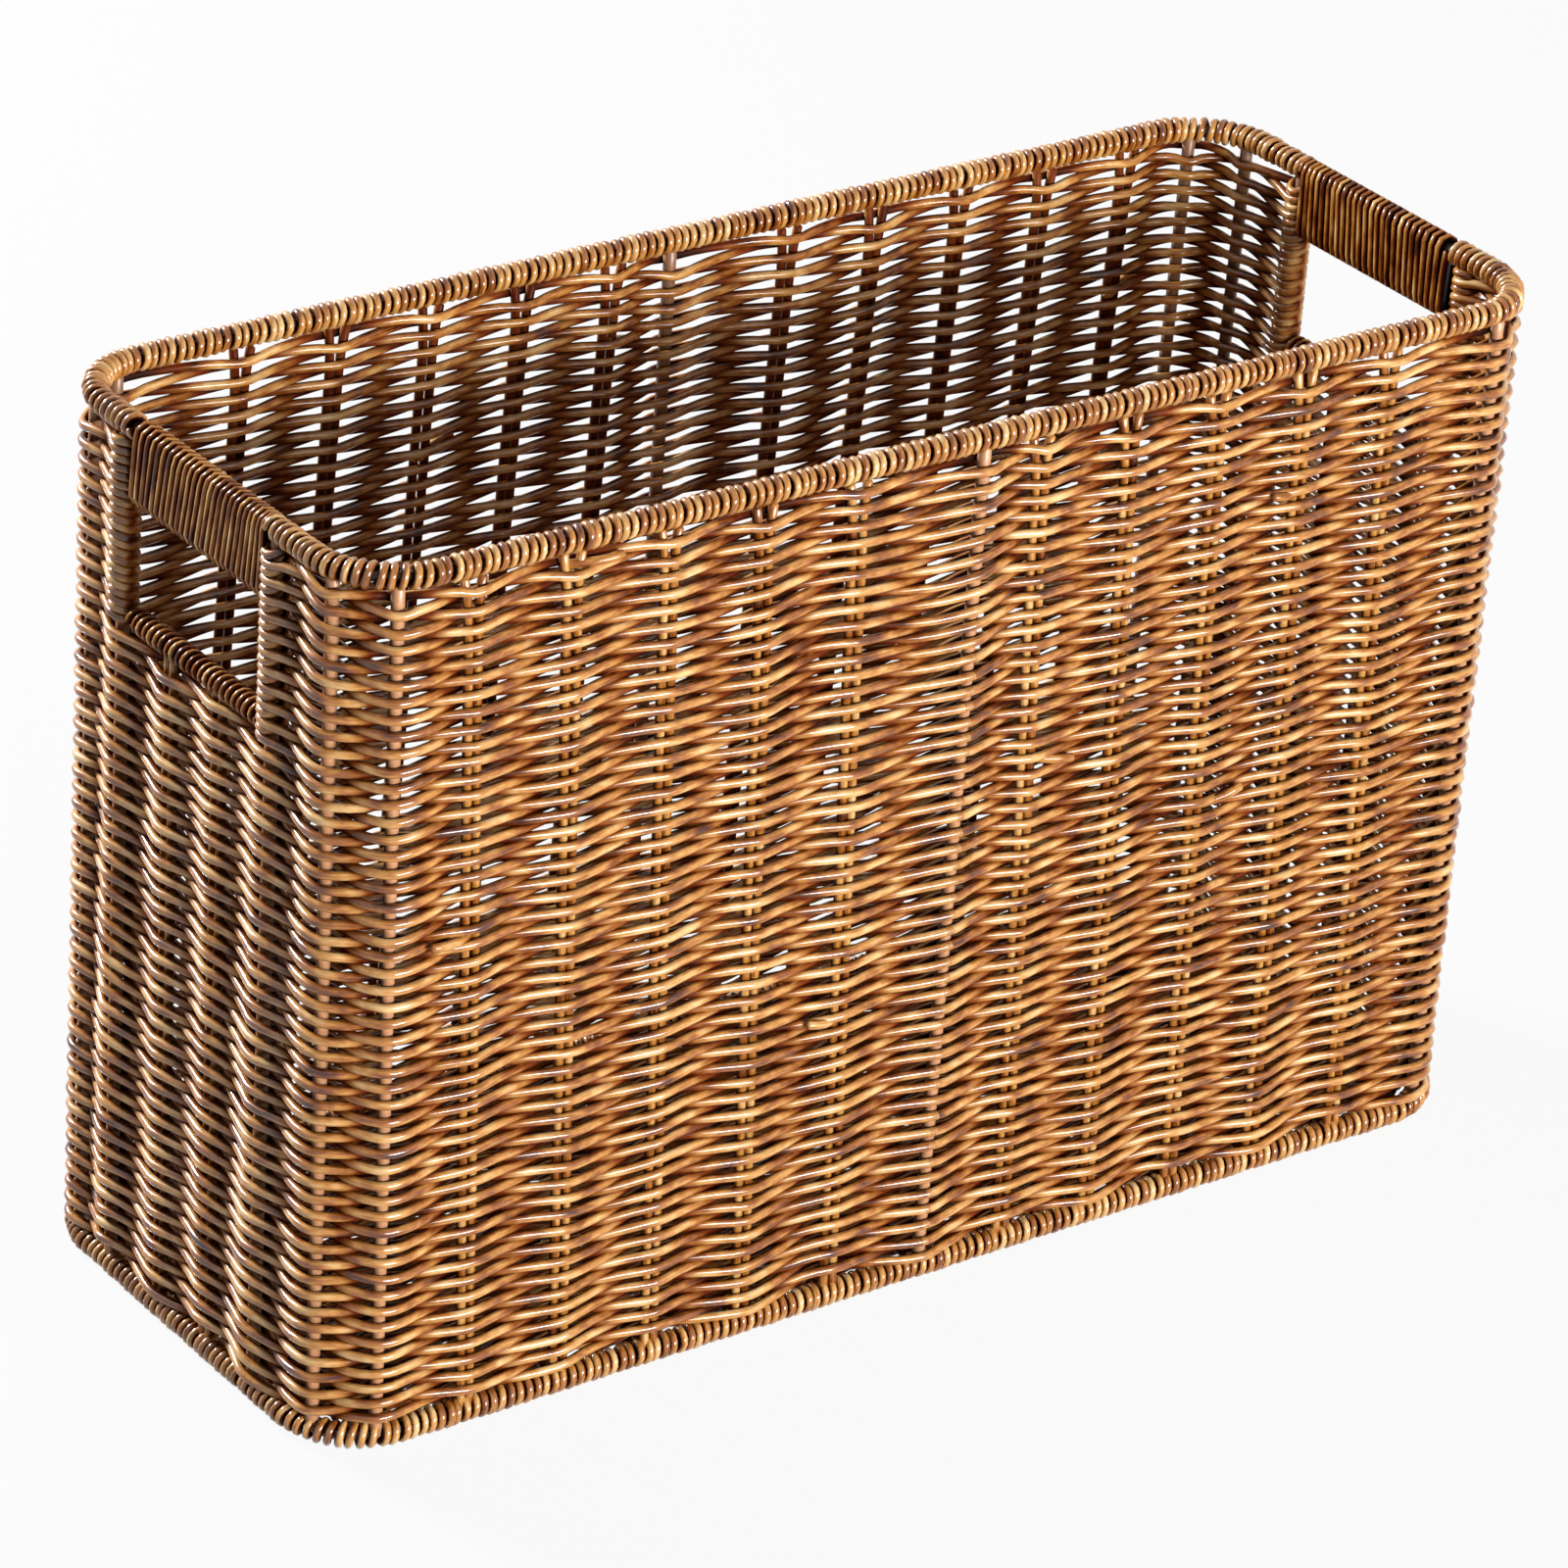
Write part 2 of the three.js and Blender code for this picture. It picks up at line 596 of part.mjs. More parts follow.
for (const [side, turn] of [
  ["front", 0],
  ["back", 1 / 2],
]) {
  const group = new THREE.Group();
  group.rotation.z = FULL_TURN * turn;
  group.add(
    namedMesh(`wall_${side}`, longWall(), wovenLook),
    namedMesh(`top_binding_${side}`, topBinding(), whippedLook),
    namedMesh(`centre_post_${side}`, postAt(frontMiddle, UPRIGHT), postLook),
    ...longPairPlaces.map((spot, k) =>
      namedMesh(pairName(side, k), pairAt(spot, PAIR_LEAN, STAKE_TOP), stakeLook),
    ),
  );
  basket.add(group);
}

for (const [side, turn] of [
  ["left", 0],
  ["right", 1 / 2],
]) {
  const group = new THREE.Group();
  group.rotation.z = FULL_TURN * turn;
  const gripMiddle = (TOP_AXIS_Z + GRIP_FOOT_Z) / 2;
  const gripTurns = winding(`grip winding ${side}`, GRIP_TURNS, gripMiddle, GRIP_HALF_RISE, 0);
  const sillTurns = winding(`sill winding ${side}`, SILL_TURNS, SILL_AXIS_Z, 0, -RIM_RADIUS);
  group.add(
    namedMesh(`wall_${side}`, endWall(), wovenLook),
    namedMesh(`grip_core_${side}`, gripCore(), stakeLook),
    namedMesh(`grip_winding_${side}`, gripTurns, whippedLook),
    namedMesh(`sill_wire_${side}`, sillWire(), wireLook),
    namedMesh(`sill_winding_${side}`, sillTurns, whippedLook),
    ...endPairPlaces.map((spot, k) =>
      namedMesh(pairName(side, k), pairAt(spot, END_PAIR_LEAN, END_STAKE_TOP), stakeLook),
    ),
  );
  basket.add(group);
}

for (const [corner, signX, signY] of [
  ["front_left", 1, 1],
  ["back_left", 1, -1],
  ["back_right", -1, -1],
  ["front_right", -1, 1],
]) {
  const group = new THREE.Group();
  group.scale.set(signX, signY, 1);
  const way = signX * signY;
  const cornerLean = turned(CORNER_POST_LEAN, way);
  group.add(
    namedMesh(`wall_corner_${corner}`, cornerWall(way), wovenLook),
    namedMesh(`handle_post_${corner}`, postAt(handlePostPlace, turned(HANDLE_POST_LEAN, way)), postLook),
    namedMesh(`corner_post_${corner}_side`, postAt(cornerPostPlaces[0], cornerLean), postLook),
    namedMesh(`corner_post_${corner}_end`, postAt(cornerPostPlaces[1], cornerLean), postLook),
  );
  basket.add(group);
}

export default basket;
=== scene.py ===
"""Magazine basket: its woven walls and base, whipped rims, grips and sills, stakes and posts, dressed round the
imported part."""

import math

import bmesh
import bpy
import numpy as np
from mathutils import Matrix, Vector


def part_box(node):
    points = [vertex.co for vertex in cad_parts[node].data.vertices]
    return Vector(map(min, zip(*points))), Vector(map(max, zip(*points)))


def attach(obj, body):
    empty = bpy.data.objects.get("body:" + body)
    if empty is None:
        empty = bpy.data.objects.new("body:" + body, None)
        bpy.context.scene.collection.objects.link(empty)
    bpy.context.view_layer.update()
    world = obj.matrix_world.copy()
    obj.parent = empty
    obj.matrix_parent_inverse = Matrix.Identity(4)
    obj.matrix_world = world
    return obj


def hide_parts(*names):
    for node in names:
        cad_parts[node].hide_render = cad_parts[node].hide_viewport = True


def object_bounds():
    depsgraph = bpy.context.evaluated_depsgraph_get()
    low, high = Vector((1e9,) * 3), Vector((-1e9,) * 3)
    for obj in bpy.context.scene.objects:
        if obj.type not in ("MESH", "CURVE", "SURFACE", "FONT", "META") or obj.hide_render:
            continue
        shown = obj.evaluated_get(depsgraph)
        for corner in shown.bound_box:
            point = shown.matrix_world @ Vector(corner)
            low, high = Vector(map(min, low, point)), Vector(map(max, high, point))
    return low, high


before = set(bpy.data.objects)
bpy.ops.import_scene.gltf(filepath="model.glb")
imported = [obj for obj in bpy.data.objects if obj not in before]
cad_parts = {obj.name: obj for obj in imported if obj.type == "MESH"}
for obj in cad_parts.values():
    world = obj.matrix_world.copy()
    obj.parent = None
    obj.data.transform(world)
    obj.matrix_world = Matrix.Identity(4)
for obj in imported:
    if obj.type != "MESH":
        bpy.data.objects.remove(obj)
CAD_BOX = [list(corner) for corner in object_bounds()]

bl_info = {
    "name": "Magazine basket",
    "version": (1, 0, 0),
    "blender": (4, 5, 0),
    "location": "3D view > Sidebar > Basket",
    "description": "Woven magazine basket with whipped rims and hand holes",
    "category": "Object",
}

# Lengths are in millimetres, and in metres where they meet Blender.
MM = 0.001
FRONT_TO_BACK = ("front", "back")
LEFT_TO_RIGHT = ("left", "right")
CORNERS = ("front_left", "back_left", "back_right", "front_right")

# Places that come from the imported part.
RING_LOW, RING_HIGH = (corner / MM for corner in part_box("top_ring_wire"))
SILL_LOW, SILL_HIGH = (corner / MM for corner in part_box("sill_wire_left"))
WINDING_LOW, WINDING_HIGH = (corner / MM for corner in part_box("grip_winding_left"))
BASE_LOW, BASE_HIGH = (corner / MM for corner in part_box("base_weave"))
HEIGHT = CAD_BOX[1][2] / MM
FRAME_WIRE = RING_HIGH.z - RING_LOW.z
SILL_AXIS_Z = (SILL_LOW.z + SILL_HIGH.z) / 2

# The ring's line runs along the middle of its wire. Places on it are measured from the middle of the front, going
# right as seen from outside.
BEND = 23.9  # radius of its corners
BEND_X = RING_HIGH.x - FRAME_WIRE / 2 - BEND
BEND_Y = RING_HIGH.y - FRAME_WIRE / 2 - BEND
BEND_ARC = BEND * math.pi / 2
HALF_ROUND = 2 * (BEND_X + BEND_ARC + BEND_Y)
ROUND = 2 * HALF_ROUND
END_MIDDLES = {"right": HALF_ROUND / 2, "left": HALF_ROUND * 1.5}

# Stake pairs and posts.
PAIR, POST = 0, 1
PAIR_PITCH = 32.1
PAIRS_PER_HALF = 5
END_PAIR_Y = 13.0
HANDLE_POST_Y = 39.0
CORNER_POST_SHARES = (0.25, 0.75)  # of the corner's arc
# How far each leans to the left from the floor to the basket's full height.
SIDE_PAIR_LEAN, END_PAIR_LEAN = 11.0, 4.0
CENTRE_POST_LEAN, CORNER_POST_LEAN, HANDLE_POST_LEAN = 0.0, 4.0, 2.0
# Where the feet of a pair and of the posts left and right of a hand hole stand, measured from their places.
PAIR_FOOT = -1.0
LEFT_JAMB_FOOT, RIGHT_JAMB_FOOT = -3.0, -1.5


def ring_stops():
    """(place along the ring, kind, lean) of each stake pair and post, all the way round."""
    end_middle = BEND_X + BEND_ARC + BEND_Y
    stops = [(0.0, POST, CENTRE_POST_LEAN)]
    stops += [(PAIR_PITCH * k, PAIR, SIDE_PAIR_LEAN) for k in range(1, PAIRS_PER_HALF + 1)]
    stops += [(BEND_X + BEND_ARC * share, POST, CORNER_POST_LEAN) for share in CORNER_POST_SHARES]
    stops += [(end_middle - HANDLE_POST_Y, POST, HANDLE_POST_LEAN), (end_middle - END_PAIR_Y, PAIR, END_PAIR_LEAN)]
    stops += [(end_middle + END_PAIR_Y, PAIR, END_PAIR_LEAN), (end_middle + HANDLE_POST_Y, POST, HANDLE_POST_LEAN)]
    stops += [(2 * end_middle - BEND_X - BEND_ARC * share, POST, CORNER_POST_LEAN)
              for share in reversed(CORNER_POST_SHARES)]
    stops += [(HALF_ROUND - PAIR_PITCH * k, PAIR, SIDE_PAIR_LEAN) for k in range(PAIRS_PER_HALF, 0, -1)]
    return stops + [(place + HALF_ROUND, kind, lean) for place, kind, lean in stops]


STOPS = ring_stops()
STOP_PLACES = np.array([place for place, _kind, _lean in STOPS])
STOP_KINDS = np.array([kind for _place, kind, _lean in STOPS])
STOP_LEANS = np.array([lean for _place, _kind, lean in STOPS])
# The posts beside the hand holes, by their numbers among the stops.
RIGHT_NEAR_POST, RIGHT_FAR_POST = 8, 11
LEFT_FAR_POST, LEFT_NEAR_POST = 27, 30
STOP_FEET = np.where(STOP_KINDS == PAIR, PAIR_FOOT, STOP_LEANS / 2)
STOP_FEET[[RIGHT_NEAR_POST, LEFT_FAR_POST]] = LEFT_JAMB_FOOT
STOP_FEET[[RIGHT_FAR_POST, LEFT_NEAR_POST]] = RIGHT_JAMB_FOOT


def stop_places_at(height):
    """Where the stakes and posts cross that height. They lean to the left as they rise."""
    return STOP_PLACES + STOP_FEET - STOP_LEANS * height / HEIGHT


def linear(hex_colour):
    """A linear RGB triple from an sRGB hex colour."""
    shares = [int(hex_colour[i:i + 2], 16) / 255 for i in (1, 3, 5)]
    return tuple(c / 12.92 if c <= 0.04045 else ((c + 0.055) / 1.055) ** 2.4 for c in shares)


def length(name, description, millimetres):
    return bpy.props.FloatProperty(
        name=name, description=description, default=millimetres * MM, unit="LENGTH", subtype="DISTANCE", precision=5)


def colour(name, description, hex_colour):
    return bpy.props.FloatVectorProperty(
        name=name, description=description, default=linear(hex_colour), subtype="COLOR", size=3, min=0, max=1)


class BasketSizes(bpy.types.PropertyGroup):
    """Sizes of the strands and of the weave."""
    strand: length("Strand", "Thickness of the woven strands", 2.8)
    whipping: length("Whipping", "Thickness of the strand that wraps rims, grips and sills", 2.4)
    stake: length("Stake", "Thickness of one stake", 2.9)
    pair_spacing: length("Pair spacing", "Distance between the two stakes of a pair", 3.3)
    post: length("Post", "Thickness of the coated steel posts", 4.0)
    first_row: length("First row", "Height of the lowest row's middle", 9.9)
    last_row: length("Last row", "Height of the highest row's middle", 268.6)
    rows: bpy.props.IntProperty(name="Rows", description="Rows from foot to rim", default=100, min=2)
    open_rows: bpy.props.IntProperty(
        name="Rows beside holes", description="Rows that turn back at the hand holes, an even number", default=22,
        min=2)
    base_rows: bpy.props.IntProperty(name="Base rows", description="Rows of the base", default=58, min=2)
    rim_pitch: length("Rim pitch", "Distance between the turns of the rims", 3.0)
    grip_turns: bpy.props.IntProperty(name="Grip turns", description="Turns round each grip", default=26, min=4)
    sill_turns: bpy.props.IntProperty(name="Sill turns", description="Turns round each sill", default=22, min=4)


class BasketColours(bpy.types.PropertyGroup):
    """Colours of the basket and of the stage."""
    strand_dark: colour("Strand, dark", "Burnt streaks of the strands", "#401604")
    strand_brown: colour("Strand, brown", "Brown between the streaks", "#864A16")
    strand_honey: colour("Strand, honey", "Main colour of the strands", "#B27A38")
    strand_pale: colour("Strand, pale", "Palest stretches of the strands", "#D2AD74")
    post: colour("Post", "Coating of the steel posts", "#C08A62")
    floor: colour("Floor", "Floor under the basket", "#A0A0A0")


def add_node(tree, kind, inputs=None, **settings):
    """Adds a node with its settings. Inputs maps its inputs, by name or number, to sockets or to values."""
    node = tree.nodes.new(kind)
    for name, value in settings.items():
        setattr(node, name, value)
    for name, value in (inputs or {}).items():
        if isinstance(value, bpy.types.NodeSocket):
            tree.links.new(value, node.inputs[name])
        else:
            node.inputs[name].default_value = value
    return node


def fresh_material(name):
    material = bpy.data.materials.new(name)
    material.use_nodes = True
    material.node_tree.nodes.clear()
    return material, material.node_tree


def set_ramp(node, stops):
    """Gives a colour ramp its stops, a list of (position, linear colour)."""
    elements = node.color_ramp.elements
    while len(elements) < len(stops):
        elements.new(0.5)
    for element, (position, rgb) in zip(elements, stops):
        element.position = position
        element.color = (*rgb, 1)


WHITE = (1.0, 1.0, 1.0)


def paint_shade_over(tree, finish, stops):
    """Paints shade over a finish: it darkens the colour deep in the weave and between the turns, where shade falls, and
    leaves the open faces as they are. Returns the sockets of the shaded colour and of the openness that the painted
    shade follows."""
    openness = add_node(tree, "ShaderNodeAttribute", attribute_name="openness").outputs["Fac"]
    shade_ramp = add_node(tree, "ShaderNodeValToRGB", {"Fac": openness})
    set_ramp(shade_ramp, stops)
    both = add_node(tree, "ShaderNodeMix", {"Factor": 1.0, 6: finish, 7: shade_ramp.outputs["Color"]},
                    data_type="RGBA", blend_type="MULTIPLY")
    return both.outputs[2], openness


# How much each pattern counts in a resin strand's colour, and how far all of it is drawn towards the dark.
PATCH_SHARE, LINE_SHARE, TONE_SHARE = 0.7, 0.15, 0.22
DARKENING = 0.055


def resin_material(name, colours, shade=0.0, ior=1.2, gloss=0.95):
    """Polyethylene resin strand, extruded and varnished: mottled brown on honey along its length, with fine
    drawn lines and a clear gloss that catches crisp highlights. Where the strand lies deep, its colour is painted
    darker as shade. Shade darkens the whole copy as painted shade, and lightens it as painted light below zero; gloss
    is the varnish's share."""
    material, tree = fresh_material(name)
    place = add_node(tree, "ShaderNodeAttribute", attribute_name="strand_place").outputs["Vector"]
    # Mottling: patches some 15 mm long and a third of the way round.
    patches_at = add_node(tree, "ShaderNodeMapping", {"Vector": place, "Scale": (70, 190, 190)})
    patches = add_node(tree, "ShaderNodeTexNoise", {
        "Vector": patches_at.outputs["Vector"], "Scale": 1.0, "Detail": 3.0, "Roughness": 0.6})
    # Drawn lines: 0.4 mm across, 25 mm long; drawn as coarse as they need to show.
    lines_at = add_node(tree, "ShaderNodeMapping", {"Vector": place, "Scale": (40, 2500, 2500)})
    lines = add_node(tree, "ShaderNodeTexNoise", {
        "Vector": lines_at.outputs["Vector"], "Scale": 1.0, "Detail": 2.0, "Roughness": 0.5})
    # Tone: whole stretches of strand that are lighter or darker, about 250 mm long.
    tone_at = add_node(tree, "ShaderNodeMapping", {"Vector": place, "Scale": (6, 30, 30)})
    tone = add_node(tree, "ShaderNodeTexNoise", {
        "Vector": tone_at.outputs["Vector"], "Scale": 1.0, "Detail": 1.0, "Roughness": 0.5})
    streaks = add_node(tree, "ShaderNodeMath", {0: lines.outputs["Fac"], 1: LINE_SHARE}, operation="MULTIPLY")
    mottled = add_node(tree, "ShaderNodeMath", {
        0: patches.outputs["Fac"], 1: PATCH_SHARE, 2: streaks.outputs[0]}, operation="MULTIPLY_ADD")
    toned = add_node(tree, "ShaderNodeMath", {
        0: tone.outputs["Fac"], 1: TONE_SHARE, 2: mottled.outputs[0]}, operation="MULTIPLY_ADD")
    shaded = add_node(tree, "ShaderNodeMath", {0: toned.outputs[0], 1: DARKENING + shade}, operation="SUBTRACT")
    ramp = add_node(tree, "ShaderNodeValToRGB", {"Fac": shaded.outputs[0]})
    set_ramp(ramp, [
        (0.34, tuple(colours.strand_dark)),
        (0.43, tuple(colours.strand_brown)),
        (0.51, tuple(colours.strand_honey)),
        (0.62, tuple(colours.strand_pale)),
    ])
    # Painted shade: where the openness is low, deep in the weave, between the turns and on inner faces, the colour
    # darkens towards near black.
    painted_shade_colour, openness = paint_shade_over(tree, ramp.outputs["Color"], [
        (0.0, linear("#1E0A06")),
        (0.22, linear("#4C2412")),
        (0.48, linear("#90583A")),
        (0.9, WHITE),
    ])
    # The varnish's gloss follows the openness too: there is none where the colour is painted dark as shade, and what
    # lies deep is duller.
    varnish = add_node(tree, "ShaderNodeMapRange", {"Value": openness, "From Min": 0.65, "To Max": gloss})
    rough = add_node(tree, "ShaderNodeMapRange", {"Value": lines.outputs["Fac"], "To Min": 0.26, "To Max": 0.40})
    dull = add_node(tree, "ShaderNodeMapRange", {"Value": openness, "To Min": 0.3, "To Max": 0.0})
    duller = add_node(tree, "ShaderNodeMath", {0: rough.outputs["Result"], 1: dull.outputs["Result"]}, operation="ADD")
    bump = add_node(tree, "ShaderNodeBump", {"Height": lines.outputs["Fac"], "Strength": 0.35, "Distance": 0.0001})
    shader = add_node(tree, "ShaderNodeBsdfPrincipled", {
        "Base Color": painted_shade_colour,
        "Roughness": duller.outputs[0],
        "Normal": bump.outputs["Normal"],
        "IOR": ior,
        "Specular Tint": (*linear("#FFF0D8"), 1),
        "Coat Weight": varnish.outputs["Result"],
        "Coat Roughness": 0.18,
        "Coat IOR": 1.62,
    })
    add_node(tree, "ShaderNodeOutputMaterial", {"Surface": shader.outputs["BSDF"]})
    return material


# The orange peel's hollows are painted darker, as shade, down to this share of the coating's colour.
PEEL_HOLLOW_SHADE = 0.72  # brightness of the coating's hollows, as a share of its colour


def coating_material(name, rgb):
    """Steel wire with a baked powder coating: satin, slightly uneven, no bare metal showing."""
    material, tree = fresh_material(name)
    place = add_node(tree, "ShaderNodeTexCoord")
    # Orange peel of the coating, about 1.5 mm across.
    peel_at = add_node(tree, "ShaderNodeMapping", {"Vector": place.outputs["Object"], "Scale": (650, 650, 650)})
    peel = add_node(tree, "ShaderNodeTexNoise", {
        "Vector": peel_at.outputs["Vector"], "Scale": 1.0, "Detail": 2.0, "Roughness": 0.5})
    # Painted shade: where the peel's bump is low, its hollows are darker.
    ramp = add_node(tree, "ShaderNodeValToRGB", {"Fac": peel.outputs["Fac"]})
    set_ramp(ramp, [(0.3, tuple(c * PEEL_HOLLOW_SHADE for c in rgb)), (0.7, tuple(rgb))])
    # Painted shade on the posts' less open inner faces.
    painted_shade_colour, _openness = paint_shade_over(tree, ramp.outputs["Color"], [(0.1, linear("#3A2418")), (0.9, WHITE)])
    bump = add_node(tree, "ShaderNodeBump", {"Height": peel.outputs["Fac"], "Strength": 0.2, "Distance": 0.0001})
    shader = add_node(tree, "ShaderNodeBsdfPrincipled", {
        "Base Color": painted_shade_colour, "Roughness": 0.38, "IOR": 1.5, "Normal": bump.outputs["Normal"]})
    add_node(tree, "ShaderNodeOutputMaterial", {"Surface": shader.outputs["BSDF"]})
    return material


def material_named(name, make):
    """The material of that name, made the first time that it is asked for."""
    return bpy.data.materials.get(name) or make(name)


def strand_resin(colours):
    return material_named("varnished_resin_strand", lambda name: resin_material(name, colours))


def stake_resin(colours):
    return material_named("varnished_resin_stake", lambda name: resin_material(name, colours))


def steel_coating(colours):
    return material_named("powder_coated_steel", lambda name: coating_material(name, colours.post))


def ring_line(place, out=0.0, height=0.0):
    """Points in metres at a place along the ring's line, so far outside it and so high."""
    place, out, height = np.broadcast_arrays(np.asarray(place, float), out, height)
    s = np.mod(place, ROUND)
    sign = np.where(s >= HALF_ROUND, -1.0, 1.0)
    s = np.mod(s, HALF_ROUND)
    along_front = np.clip(s, 0, BEND_X)
    s = s - BEND_X
    near_bend = np.clip(s, 0, BEND_ARC)
    s = s - BEND_ARC
    along_end = np.clip(s, 0, 2 * BEND_Y)
    s = s - 2 * BEND_Y
    far_bend = np.clip(s, 0, BEND_ARC)
    along_back = np.clip(s - BEND_ARC, 0, BEND_X)
    heading = (near_bend + far_bend) / BEND - math.pi / 2
    x = sign * (along_front - along_back + (BEND + out) * np.cos(heading))
    y = sign * (along_end - BEND_Y + (BEND + out) * np.sin(heading))
    return np.stack([x, y, height], axis=-1) * MM


class Ripple:
    """A smooth seeded unevenness along the ring and up the wall: a sum of waves, each with its number of periods
    round the ring and its climb in radians per millimetre of height."""

    def __init__(self, rng, amplitude, waves, turns=(3, 24), climbs=(0.01, 0.06)):
        self.turns = rng.integers(turns[0], turns[1], waves)
        self.climbs = rng.uniform(climbs[0], climbs[1], waves) * rng.choice([-1, 1], waves)
        self.phases = rng.uniform(0, 2 * math.pi, waves)
        self.amplitude = amplitude / math.sqrt(waves)

    def __call__(self, place, height=0.0):
        total = 0.0
        for turn, climb, phase in zip(self.turns, self.climbs, self.phases):
            total = total + np.sin(2 * math.pi * turn * place / ROUND + climb * height + phase)
        return self.amplitude * total


# The rounded tip of a strand: how far it reaches past the last point, in radii, and the place and the thickness of
# its shoulder, as shares of that reach and of the radius.
TIP_REACH = 0.5
SHOULDER_PLACE, SHOULDER_THICKNESS = 0.7, 0.6


def open_ends(points, radius):
    """Adds the points that round off the two ends of an open strand: (points, radius shares)."""
    tips, shoulders = [], []
    for end, before in ((points[0], points[1]), (points[-1], points[-2])):
        tip = end + (end - before) / np.linalg.norm(end - before) * radius * TIP_REACH
        tips.append(tip)
        shoulders.append(tip * SHOULDER_PLACE + end * (1 - SHOULDER_PLACE))
    grown = np.concatenate([[tips[0], shoulders[0]], points, [shoulders[1], tips[1]]])
    shares = np.concatenate([[0.0, SHOULDER_THICKNESS], np.ones(len(points)), [SHOULDER_THICKNESS, 0.0]])
    return grown, shares


def ring_distance(points):
    """How far outside the ring's line points are, in millimetres."""
    beyond = np.abs(points[..., :2]) / MM - np.array([BEND_X, BEND_Y])
    return np.linalg.norm(np.maximum(beyond, 0), axis=-1) + np.minimum(beyond.max(axis=-1), 0) - BEND


# A wall strand is painted darkest, as shade, up to this reach out of the weave, and unshaded from a span further out.
# Its inner face, which begins within the inner span, keeps a share of that painted shade.
PAINTED_SHADE_REACH, CLEARING_SPAN = -1.3, 3.4
INNER_SPAN, INNER_PAINTED_SHADE = 3, 0.1
# The openness of a stake's or post's sides, and how much more its outer face has: the inner face is painted darker, as
# shade.
UPRIGHT_OPENNESS, UPRIGHT_FACING = 0.64, 0.24


def wall_openness(points, middles, radius):
    """How open a strand of a wall is, from 0 deep in the weave to 1 on its faces: the materials paint it darker, as
    shade, where it is low.
    """
    out = ring_distance(points)
    facing = (out - ring_distance(middles)) / (radius / MM)
    reach = facing * out + (1 - np.abs(facing)) * np.abs(out)
    inside = np.clip(0.5 - out / INNER_SPAN - facing / 2, 0, 1)
    return np.clip((reach - PAINTED_SHADE_REACH) / CLEARING_SPAN, 0, 1) * (1 - INNER_PAINTED_SHADE * inside)


def winding_openness(low, high, inner, sunk=0.42, open_from=0.87):
    """The same for a strand that is wound round a bar of that inner radius, whose middle goes from one height to the
    other. It is painted darkest, as shade between the turns, below the sunk share of its own thickness, and unshaded
    from the other share outwards."""
    def openness(points, middles, radius):
        out = ring_distance(points)
        height = points[..., 2] / MM
        away = np.hypot(out, height - np.clip(height, low, high)) - inner
        return np.clip((away / (2 * radius / MM) - sunk) / (open_from - sunk), 0, 1)
    return openness


def upright_openness(points, middles, radius):
    """The same for a stake or post, whose inner face is the less open one, and so is painted darker as shade."""
    facing = (ring_distance(points) - ring_distance(middles)) / (radius / MM)
    return UPRIGHT_OPENNESS + UPRIGHT_FACING * facing


def even_openness(share):
    """The same for strands that lie alike over their whole length."""
    return lambda points, middles, radius: np.full(points.shape[:-1], share)


PATTERN_LENGTH = 40  # metres of pattern in which each strand has a start of its own


def strand_mesh(name, strands, radius, rng, openness, resolution=2):
    """A mesh of round strands. Each strand is (points in metres, closed). The mesh carries strand_place: how far
    along its strand a vertex is, from a start of its own, and where in the section; and openness, as above."""
    curve = bpy.data.curves.new(name, "CURVE")
    curve.dimensions = "3D"
    curve.bevel_depth = radius
    curve.bevel_resolution = resolution
    sides = 4 + 2 * resolution
    lengths, counts = [], []
    for points, closed in strands:
        shares = np.ones(len(points))
        if not closed:
            points, shares = open_ends(points, radius)
        spline = curve.splines.new("POLY")
        spline.points.add(len(points) - 1)
        spline.points.foreach_set("co", np.column_stack([points, np.ones(len(points))]).astype(np.float32).ravel())
        spline.points.foreach_set("radius", shares.astype(np.float32))
        spline.use_cyclic_u = closed
        steps = np.linalg.norm(np.diff(points, axis=0), axis=1)
        lengths.append(np.concatenate([[0], np.cumsum(steps)]) + rng.uniform(0, PATTERN_LENGTH))
        counts.append(len(points))
    holder = bpy.data.objects.new(name, curve)
    bpy.context.scene.collection.objects.link(holder)
    graph = bpy.context.evaluated_depsgraph_get()
    mesh = bpy.data.meshes.new_from_object(holder.evaluated_get(graph))
    bpy.data.objects.remove(holder)
    bpy.data.curves.remove(curve)
    mesh.name = name
    if len(mesh.vertices) != sides * sum(counts):
        raise RuntimeError(f"{name}: {len(mesh.vertices)} vertices, and {sides * sum(counts)} were expected")

    along = np.repeat(np.concatenate(lengths), sides)
    turn = np.tile(np.arange(sides) * 2 * math.pi / sides, sum(counts))
    places = np.column_stack([along, radius * np.cos(turn), radius * np.sin(turn)])
    attribute = mesh.attributes.new("strand_place", "FLOAT_VECTOR", "POINT")
    attribute.data.foreach_set("vector", places.astype(np.float32).ravel())
    points = np.empty(len(mesh.vertices) * 3, np.float32)
    mesh.vertices.foreach_get("co", points)
    rings = points.reshape(-1, sides, 3)
    share = openness(rings, rings.mean(axis=1, keepdims=True), radius)
    mesh.attributes.new("openness", "FLOAT", "POINT").data.foreach_set("value", share.astype(np.float32).ravel())
    for unused in [layer.name for layer in mesh.uv_layers]:
        mesh.uv_layers.remove(mesh.uv_layers[unused])
    if not all(closed for _points, closed in strands):
        # The tips are rings of no size, which close to a point.
        shape = bmesh.new()
        shape.from_mesh(mesh)
        bmesh.ops.remove_doubles(shape, verts=shape.verts, dist=radius * 0.001)
        shape.to_mesh(mesh)
        shape.free()
    mesh.shade_smooth()
    return mesh


